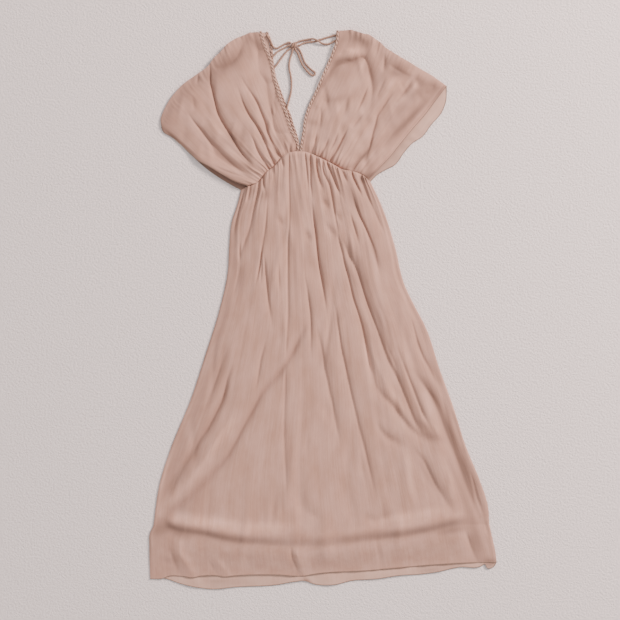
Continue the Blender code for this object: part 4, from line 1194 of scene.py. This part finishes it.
def per_metre(spacing):
    """How often a pattern repeats in a metre, from its spacing in millimetres."""
    return 1 / (spacing * MM)


def node(tree, kind, settings=(), inputs=()):
    """A shader node with its settings and inputs given. An input that is a socket is linked.

    An input goes by its name, or by its number where two have the same name.
    """
    made = tree.nodes.new(kind)
    for name, value in dict(settings).items():
        setattr(made, name, value)
    for key, value in dict(inputs).items():
        if isinstance(value, bpy.types.NodeSocket):
            tree.links.new(value, made.inputs[key])
        else:
            made.inputs[key].default_value = value
    return made


def blank_material(name):
    material = bpy.data.materials.new(name)
    material.use_nodes = True
    material.node_tree.nodes.clear()
    return material, material.node_tree


def crinkle_chiffon(name, light, dark, see_through):
    """Crinkled polyester chiffon, woven of hard-twisted yarn and heat-set in fine pleats.

    The pleats give the eye fine streaks down the cloth, the weave takes off any gloss, and
    the open weave lets a little of what is under it show through.
    """
    material, tree = blank_material(name)
    grain = node(tree, "ShaderNodeUVMap", {"uv_map": "grain"}).outputs["UV"]
    drawn = {}
    for label, (width, length, detail, roughness) in CHIFFON_PATTERNS.items():
        place = node(tree, "ShaderNodeMapping", inputs={
            "Vector": grain, "Scale": (per_metre(width), per_metre(length), 1.0)})
        drawn[label] = node(tree, "ShaderNodeTexNoise", inputs={
            "Vector": place.outputs["Vector"], "Scale": 1.0, "Detail": detail,
            "Roughness": roughness}).outputs["Fac"]
    pleated = node(tree, "ShaderNodeBump", inputs={
        "Height": drawn["pleats"], "Strength": PLEAT_STRENGTH, "Distance": CRINKLE_RELIEF * MM})
    crinkled = node(tree, "ShaderNodeBump", inputs={
        "Height": drawn["crepe"], "Strength": CREPE_STRENGTH, "Distance": CRINKLE_RELIEF * MM,
        "Normal": pleated.outputs["Normal"]})
    mixed = node(tree, "ShaderNodeMath", {"operation": "MULTIPLY_ADD"}, {
        0: drawn["pleats"], 1: PLEAT_TONE_SHARE, 2: drawn["patches"]})
    tone = node(tree, "ShaderNodeMapRange", inputs={
        "Value": mixed.outputs["Value"], "From Min": TONE_RANGE[0], "From Max": TONE_RANGE[1]})
    colour = node(tree, "ShaderNodeMix", {"data_type": "RGBA"}, {
        "Factor": tone.outputs["Result"], 6: srgb(dark), 7: srgb(light)})
    # Painted shade from this attribute darkens the colour towards a shade tone, and painted light
    # lightens it where the attribute is below 0
    folded = node(tree, "ShaderNodeAttribute", {"attribute_name": "shade_paint"})
    deep = node(tree, "ShaderNodeMix", {"data_type": "RGBA", "clamp_factor": False}, {
        "Factor": folded.outputs["Fac"], 6: colour.outputs[2], 7: srgb(PAINTED_SHADE_TONE)})
    cloth = node(tree, "ShaderNodeBsdfPrincipled", inputs={
        "Base Color": deep.outputs[2], "Roughness": 0.85, "Normal": crinkled.outputs["Normal"],
        "Specular IOR Level": 0.2, "Sheen Weight": 0.15, "Sheen Roughness": 0.5})
    gaps = node(tree, "ShaderNodeBsdfTransparent")
    weave = node(tree, "ShaderNodeMixShader", inputs={
        "Fac": see_through, 1: cloth.outputs["BSDF"], 2: gaps.outputs["BSDF"]})
    node(tree, "ShaderNodeOutputMaterial", inputs={"Surface": weave.outputs["Shader"]})
    return material


def matt_grain(name, colour, spacing, relief, grain, finish):
    """A matt cloth, cord or pile with an even grain of soft bumps.

    grain and finish are further inputs of its noise and of its shader.
    """
    material, tree = blank_material(name)
    place = node(tree, "ShaderNodeTexCoord").outputs["Object"]
    bumps = node(tree, "ShaderNodeTexNoise", inputs={
        "Vector": place, "Scale": per_metre(spacing), **grain})
    raised = node(tree, "ShaderNodeBump", inputs={
        "Height": bumps.outputs["Fac"], "Strength": GRAIN_STRENGTH, "Distance": relief * MM})
    matt = node(tree, "ShaderNodeBsdfPrincipled", inputs={
        "Base Color": srgb(colour), "Normal": raised.outputs["Normal"], **finish})
    node(tree, "ShaderNodeOutputMaterial", inputs={"Surface": matt.outputs["BSDF"]})
    return material


def plain_cloth(name, colour, roughness, spacing, relief):
    """A closely made cloth or cord, soft and without gloss.

    Its yarns are 0.1 to 0.3 mm apart, too fine to show, and so are drawn wider.
    """
    return matt_grain(name, colour, spacing, relief, {"Detail": 2.0}, {
        "Roughness": roughness, "Specular IOR Level": 0.2, "Sheen Weight": 0.1})


def dress_finishes():
    """The materials of the dress, by the names that its sub-parts use."""
    return {
        "chiffon": crinkle_chiffon("crinkle chiffon", "c99685", "b78573", 0.08),
        "single": crinkle_chiffon("crinkle chiffon, single layer", "d2a492", "c89886", 0.06),
        # A smooth plain-woven polyester, which shows only as an even tone under the chiffon
        "lining": plain_cloth("plain-woven lining", "c9a595", 0.7, 1.111, 0.2),
        # Narrow hems rolled over and stitched, darker partly because the cloth lies in several
        # layers and partly as painted shade along the edges
        "hem": plain_cloth("rolled chiffon hem", "8b6c5e", 0.85, 0.8333, 0.3),
        # A narrow woven tape that carries the trim, its colour darkened with painted shade from the
        # loops over it
        "tape": plain_cloth("woven tape", "b48b7a", 0.85, 0.6667, 0.3),
        # A trim braided of soft matt cord, whose loops catch the light as a row of small beads
        "braid": plain_cloth("braided cord trim", "bd9281", 0.8, 0.625, 0.4),
        # Ties rolled from the chiffon on the bias, darker partly because the cloth is in many layers
        # and partly as painted shade
        "tie": plain_cloth("rolled chiffon tie", "98705f", 0.8, 0.8333, 0.4),
    }


def in_scene(name, data):
    """A new object of the scene, made from a mesh, curve, light or camera."""
    made = bpy.data.objects.new(name, data)
    bpy.context.scene.collection.objects.link(made)
    return made


def shell_faces(columns, rows, turned):
    """Faces of a shell: a grid of points, the same grid again above it, and the rim between.

    turned is true where down lies to the left of across, seen from above.
    """
    count = (columns + 1) * (rows + 1)
    index = np.arange(count).reshape(rows + 1, columns + 1)
    a, b = index[:-1, :-1].ravel(), index[:-1, 1:].ravel()
    c, d = index[1:, 1:].ravel(), index[1:, :-1].ravel()
    facing_up = np.stack((a, b, c, d) if turned else (d, c, b, a), axis=1)
    loop = np.concatenate((index[0, :], index[1:, -1], index[-1, -2::-1], index[-2:0:-1, 0]))
    after = np.roll(loop, -1)
    rim = np.stack((after, loop, loop + count, after + count), axis=1)
    return np.concatenate((facing_up + count, facing_up[:, ::-1], rim if turned else rim[:, ::-1]))


def cloth_object(name, surface, grid, size, material, shade_paint=None):
    """A panel as a thin shell: a grid on its underside, raised by the cloth's thickness.

    size is the panel's width and length, which its material's pattern is scaled to. The last
    argument gives the painted shade at each point, or painted light where it is below 0.
    """
    columns, rows = grid
    across, down = np.meshgrid(np.linspace(0, 1, columns + 1), np.linspace(0, 1, rows + 1))
    across, down = across.ravel(), down.ravel()
    under = surface(across, down)
    top = under + np.array((0.0, 0.0, CLOTH))
    count = len(under)
    turned = np.cross(under[1] - under[0], under[columns + 1] - under[0])[2] > 0
    mesh = bpy.data.meshes.new(name)
    mesh.from_pydata((np.concatenate((under, top)) * MM).tolist(), [],
                     shell_faces(columns, rows, turned).tolist())
    corners = np.zeros(len(mesh.loops), np.int32)
    mesh.loops.foreach_get("vertex_index", corners)
    corners %= count
    grain = np.stack((across[corners] * size[0], (1 - down[corners]) * size[1]), axis=1) * MM
    mesh.uv_layers.new(name="grain").data.foreach_set("uv", grain.ravel())
    # Painted shade, and painted light where below 0, stored on each point for the material
    if shade_paint is not None:
        amount = np.tile(shade_paint(across, down, under[:, :2]), 2)
        mesh.attributes.new("shade_paint", "FLOAT", "POINT").data.foreach_set("value", amount)
    mesh.shade_smooth()
    mesh.set_sharp_from_angle(angle=math.radians(SHARP_EDGE))
    mesh.materials.append(material)
    return in_scene(name, mesh)


def strand_object(name, lines, diameter, material, resolution=2, swell=None):
    """Round strands along lines of points in millimetres, as one curve object.

    swell gives the strands' thickness at each point as a share of the diameter.
    """
    data = bpy.data.curves.new(name, "CURVE")
    data.dimensions = "3D"
    data.bevel_depth = diameter / 2 * MM
    data.bevel_resolution = resolution
    data.use_fill_caps = True
    for line in lines:
        spline = data.splines.new("POLY")
        spline.points.add(len(line) - 1)
        spline.points.foreach_set("co", np.column_stack((line * MM, np.ones(len(line)))).ravel())
        if swell is not None:
            spline.points.foreach_set("radius", swell)
        spline.use_smooth = True
    data.materials.append(material)
    return in_scene(name, data)


def edge_roll(name, surface, across, down, diameter, material):
    """A narrow rolled hem along one edge of a panel, clear of the floor."""
    line = surface(across, down)
    line[:, 2] = np.maximum(line[:, 2] + CLOTH / 2, diameter / 2 + ROLL_CLEARANCE)
    return strand_object(name, [line], diameter, material)


def hem_roll(name, surface, material):
    return edge_roll(name, surface, np.linspace(0, 1, HEM_POINTS), np.ones(HEM_POINTS), HEM_ROLL,
                     material)


def cuff_roll(name, surface, count, material):
    return edge_roll(name, surface, np.zeros(count), np.linspace(0, 1, count), CUFF_ROLL,
                     material)


def braid_middle(side, face):
    """The line along the middle of a neck trim, and the level of its underside over a point."""
    neck_edge = bodice_edges(side, face)[3]

    def level(points):
        if face == "back":
            return np.full(len(points), BACK_LEVEL)
        return np.maximum(neck_level(points[:, 1]), tie_lift(points)) + BRAID_LIFT
    return beside(neck_edge, -OUTWARD[side] * (SEAM_GAP + BRAID_WIDTH / 2)), level


def neck_tape(name, side, face, material):
    """The narrow tape that a neck trim is sewn to, seen through the eyes of the braid."""
    middle, level = braid_middle(side, face)
    inner = beside(middle, BRAID_WIDTH / 2 - TAPE_INSET)
    outer = beside(middle, TAPE_INSET - BRAID_WIDTH / 2)

    def surface(across, down):
        along = down * BRAID_END
        plan = inner(along) + across[:, None] * (outer(along) - inner(along))
        return np.column_stack((plan, level(middle(along)) + TAPE_LIFT))
    return cloth_object(name, surface, TAPE_GRID, TAPE_CLOTH, material)


def braid_lines(side, face):
    """The two strands of a neck trim and how they swell.

    They cross in a bead at every pitch and leave an eye between.
    """
    middle, level = braid_middle(side, face)
    length = line_length(middle(np.linspace(0, 1, 400)))
    along = np.linspace(0.0, BRAID_END, round(length / BRAID_STEP))
    centre = middle(along)
    aside = to_the_left(np.gradient(centre, axis=0))
    turn = math.pi * along * length / BRAID_PITCH
    swell = BRAID_THIN + (BRAID_THICK - BRAID_THIN) * np.cos(turn) ** 2
    lines = []
    for way in (1, -1):
        swing = way * BRAID_SWING * np.sin(turn)
        weave = way * BRAID_WEAVE * np.cos(turn)
        plan = centre + swing[:, None] * aside
        lines.append(np.column_stack((plan, level(centre) + BRAID_SEAT * BRAID_STRAND + weave)))
    return lines, swell


def knot_core(material):
    """The rounded core of the bow's knot."""
    lump = bmesh.new()
    bmesh.ops.create_uvsphere(lump, u_segments=40, v_segments=20, radius=1.0)
    for vertex in lump.verts:
        vertex.co = [(centre + KNOT_CORE_SHARE * half * part) * MM for centre, half, part in
                     zip(KNOT_CENTRE, KNOT_HALF_SIZE, vertex.co)]
    mesh = bpy.data.meshes.new("knot_core")
    lump.to_mesh(mesh)
    lump.free()
    mesh.shade_smooth()
    mesh.materials.append(material)
    return in_scene("knot_core", mesh)


def knot_wraps(material):
    """The cord wrapped over the knot's core."""
    x, y, z = KNOT_CENTRE
    turns = np.radians(np.linspace(*WRAP_ENDS, 40))
    run = np.cos(turns) * WRAP_HALF_WIDTH
    wraps = []
    for slant, shift in WRAPS:
        lie = math.radians(slant)
        wraps.append(np.column_stack((x + shift + run * math.cos(lie), y + run * math.sin(lie),
                                      z - WRAP_DROP + WRAP_HEIGHT * np.sin(turns))))
    return strand_object("knot_wraps", wraps, WRAP_DIAMETER, material, 3)


def add_skirt(finish):
    """The skirt's back and front with their rolled hems."""
    back = cloth_object("skirt_back", back_skirt, BACK_SKIRT_GRID, SKIRT_CLOTH, finish["single"],
                        painted_shade(()))
    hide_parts("back_skirt")
    front = cloth_object("skirt_front", front_skirt, FRONT_SKIRT_GRID, SKIRT_CLOTH,
                         finish["chiffon"], painted_shade(SKIRT_CREASES, skirt_layers_and_shade))
    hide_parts("front_skirt")
    front_hem = hem_roll("front_hem", front_skirt, finish["hem"])
    back_hem = hem_roll("back_hem", back_skirt, finish["hem"])
    return [back, front, front_hem, back_hem]


def add_linings(finish):
    """The two lining panels, which lie between the skirt's back and front."""
    panels = []
    for name, level, under in (("lining_back", BACK_LINING_LEVEL, "back_skirt"),
                               ("lining_front", FRONT_LINING_LEVEL, "lining_back")):
        panel = cloth_object(name + "_cloth", lining(level), LINING_GRID, LINING_CLOTH,
                             finish["lining"])
        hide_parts(name)
        panels.append(panel)
    return panels


def add_bodice(side, finish):
    """One side of the bodice with its sleeve: front and back panel and their rolled hems."""
    surface = front_bodice(side)
    panel = cloth_object("bodice_front_" + side, surface, FRONT_BODICE_GRID, BODICE_CLOTH,
                         finish["chiffon"], painted_shade(CREASES[side]))
    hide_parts("front_bodice_" + side)
    cuff = cuff_roll("front_sleeve_hem_" + side, surface, FRONT_CUFF_POINTS, finish["hem"])
    behind = back_bodice(side)
    back_panel = cloth_object("bodice_back_" + side, behind, BACK_BODICE_GRID, BODICE_CLOTH,
                              finish["single"], sleeve_shade(side))
    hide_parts("back_bodice_" + side)
    back_cuff = cuff_roll("back_sleeve_hem_" + side, behind, BACK_CUFF_POINTS, finish["hem"])
    return [panel, cuff, back_panel, back_cuff]


def add_neck_trims(side, finish):
    """The braided trim and its tape along one side of the neckline, on the front and back."""
    pieces = []
    for face in ("front", "back"):
        lines, swell = braid_lines(side, face)
        trim = strand_object(f"{face}_neck_trim_{side}", lines, BRAID_STRAND, finish["braid"],
                             swell=swell)
        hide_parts(f"{face}_braid_{side}")
        tape = neck_tape(f"{face}_neck_tape_{side}", side, face, finish["tape"])
        pieces += [trim, tape]
    return pieces


def add_bow(finish):
    """The knot of the bow and the six stretches of the ties."""
    core = knot_core(finish["tie"])
    wraps = knot_wraps(finish["tie"])
    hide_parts("tie_knot")
    pieces = [core, wraps]
    for name, tie in TIES.items():
        route = tie_route(*tie)
        length = line_length(route)
        cord = strand_object(name + "_cord",
                             [curve(route)(np.linspace(0.0, 1.0, round(length / TIE_STEP)))],
                             TIE_DIAMETER, finish["tie"], 3)
        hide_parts(name)
        pieces.append(cord)
    return pieces


def add_dress():
    """Every piece of the dress, each in place of its solid."""
    finish = dress_finishes()
    pieces = add_skirt(finish) + add_linings(finish)
    for side in ("left", "right"):
        pieces += add_bodice(side, finish) + add_neck_trims(side, finish)
    pieces += add_bow(finish)
    for piece in pieces:
        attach(piece, "root")


def add_floor():
    """The pale woollen floor covering that the dress lies on."""
    bpy.ops.mesh.primitive_plane_add(size=FLOOR_WIDTH * MM)
    floor = bpy.context.object
    floor.name = "floor"
    floor.location.z = -FLOOR_DROP * MM
    # Short cut wool, whose tufts give the eye a fine even grain without gloss
    wool = matt_grain("pale wool", "f5ddd9", TUFT_SPACING, TUFT_RELIEF,
                      {"Detail": 4.0, "Roughness": 0.7},
                      {"Roughness": 0.95, "Specular IOR Level": 0.1})
    floor.data.materials.append(wool)


def add_light():
    """A large soft light beyond the picture's upper right corner, and a weak even fill."""
    data = bpy.data.lights.new("window", "AREA")
    data.energy = WINDOW_POWER
    data.color = srgb("fff6f0")[:3]
    data.shape = "DISK"
    data.size = WINDOW_WIDTH * MM
    window = in_scene("window", data)
    window.location = Vector(WINDOW_PLACE) * MM
    window.rotation_euler = (-window.location).to_track_quat("-Z", "Y").to_euler()
    room = bpy.data.worlds.new("room")
    room.use_nodes = True
    sky = room.node_tree.nodes["Background"]
    sky.inputs["Color"].default_value = srgb("edf6f8")
    sky.inputs["Strength"].default_value = ROOM_STRENGTH
    bpy.context.scene.world = room


def add_camera():
    """A camera overhead, whose picture is as wide as the photograph's view of the floor."""
    data = bpy.data.cameras.new("overhead")
    data.sensor_width = SENSOR
    data.lens = SENSOR * CAMERA_HEIGHT / PHOTO_WIDTH
    camera = in_scene("overhead", data)
    camera.location = Vector((*PHOTO_CENTRE, CAMERA_HEIGHT)) * MM
    bpy.context.scene.camera = camera


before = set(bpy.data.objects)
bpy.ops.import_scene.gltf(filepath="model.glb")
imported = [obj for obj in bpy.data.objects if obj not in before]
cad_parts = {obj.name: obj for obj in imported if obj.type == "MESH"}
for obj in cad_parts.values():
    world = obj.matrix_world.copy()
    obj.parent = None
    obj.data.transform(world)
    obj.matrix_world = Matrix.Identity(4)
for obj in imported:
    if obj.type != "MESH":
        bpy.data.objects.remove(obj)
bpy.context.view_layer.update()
add_dress()
add_floor()
add_light()
add_camera()
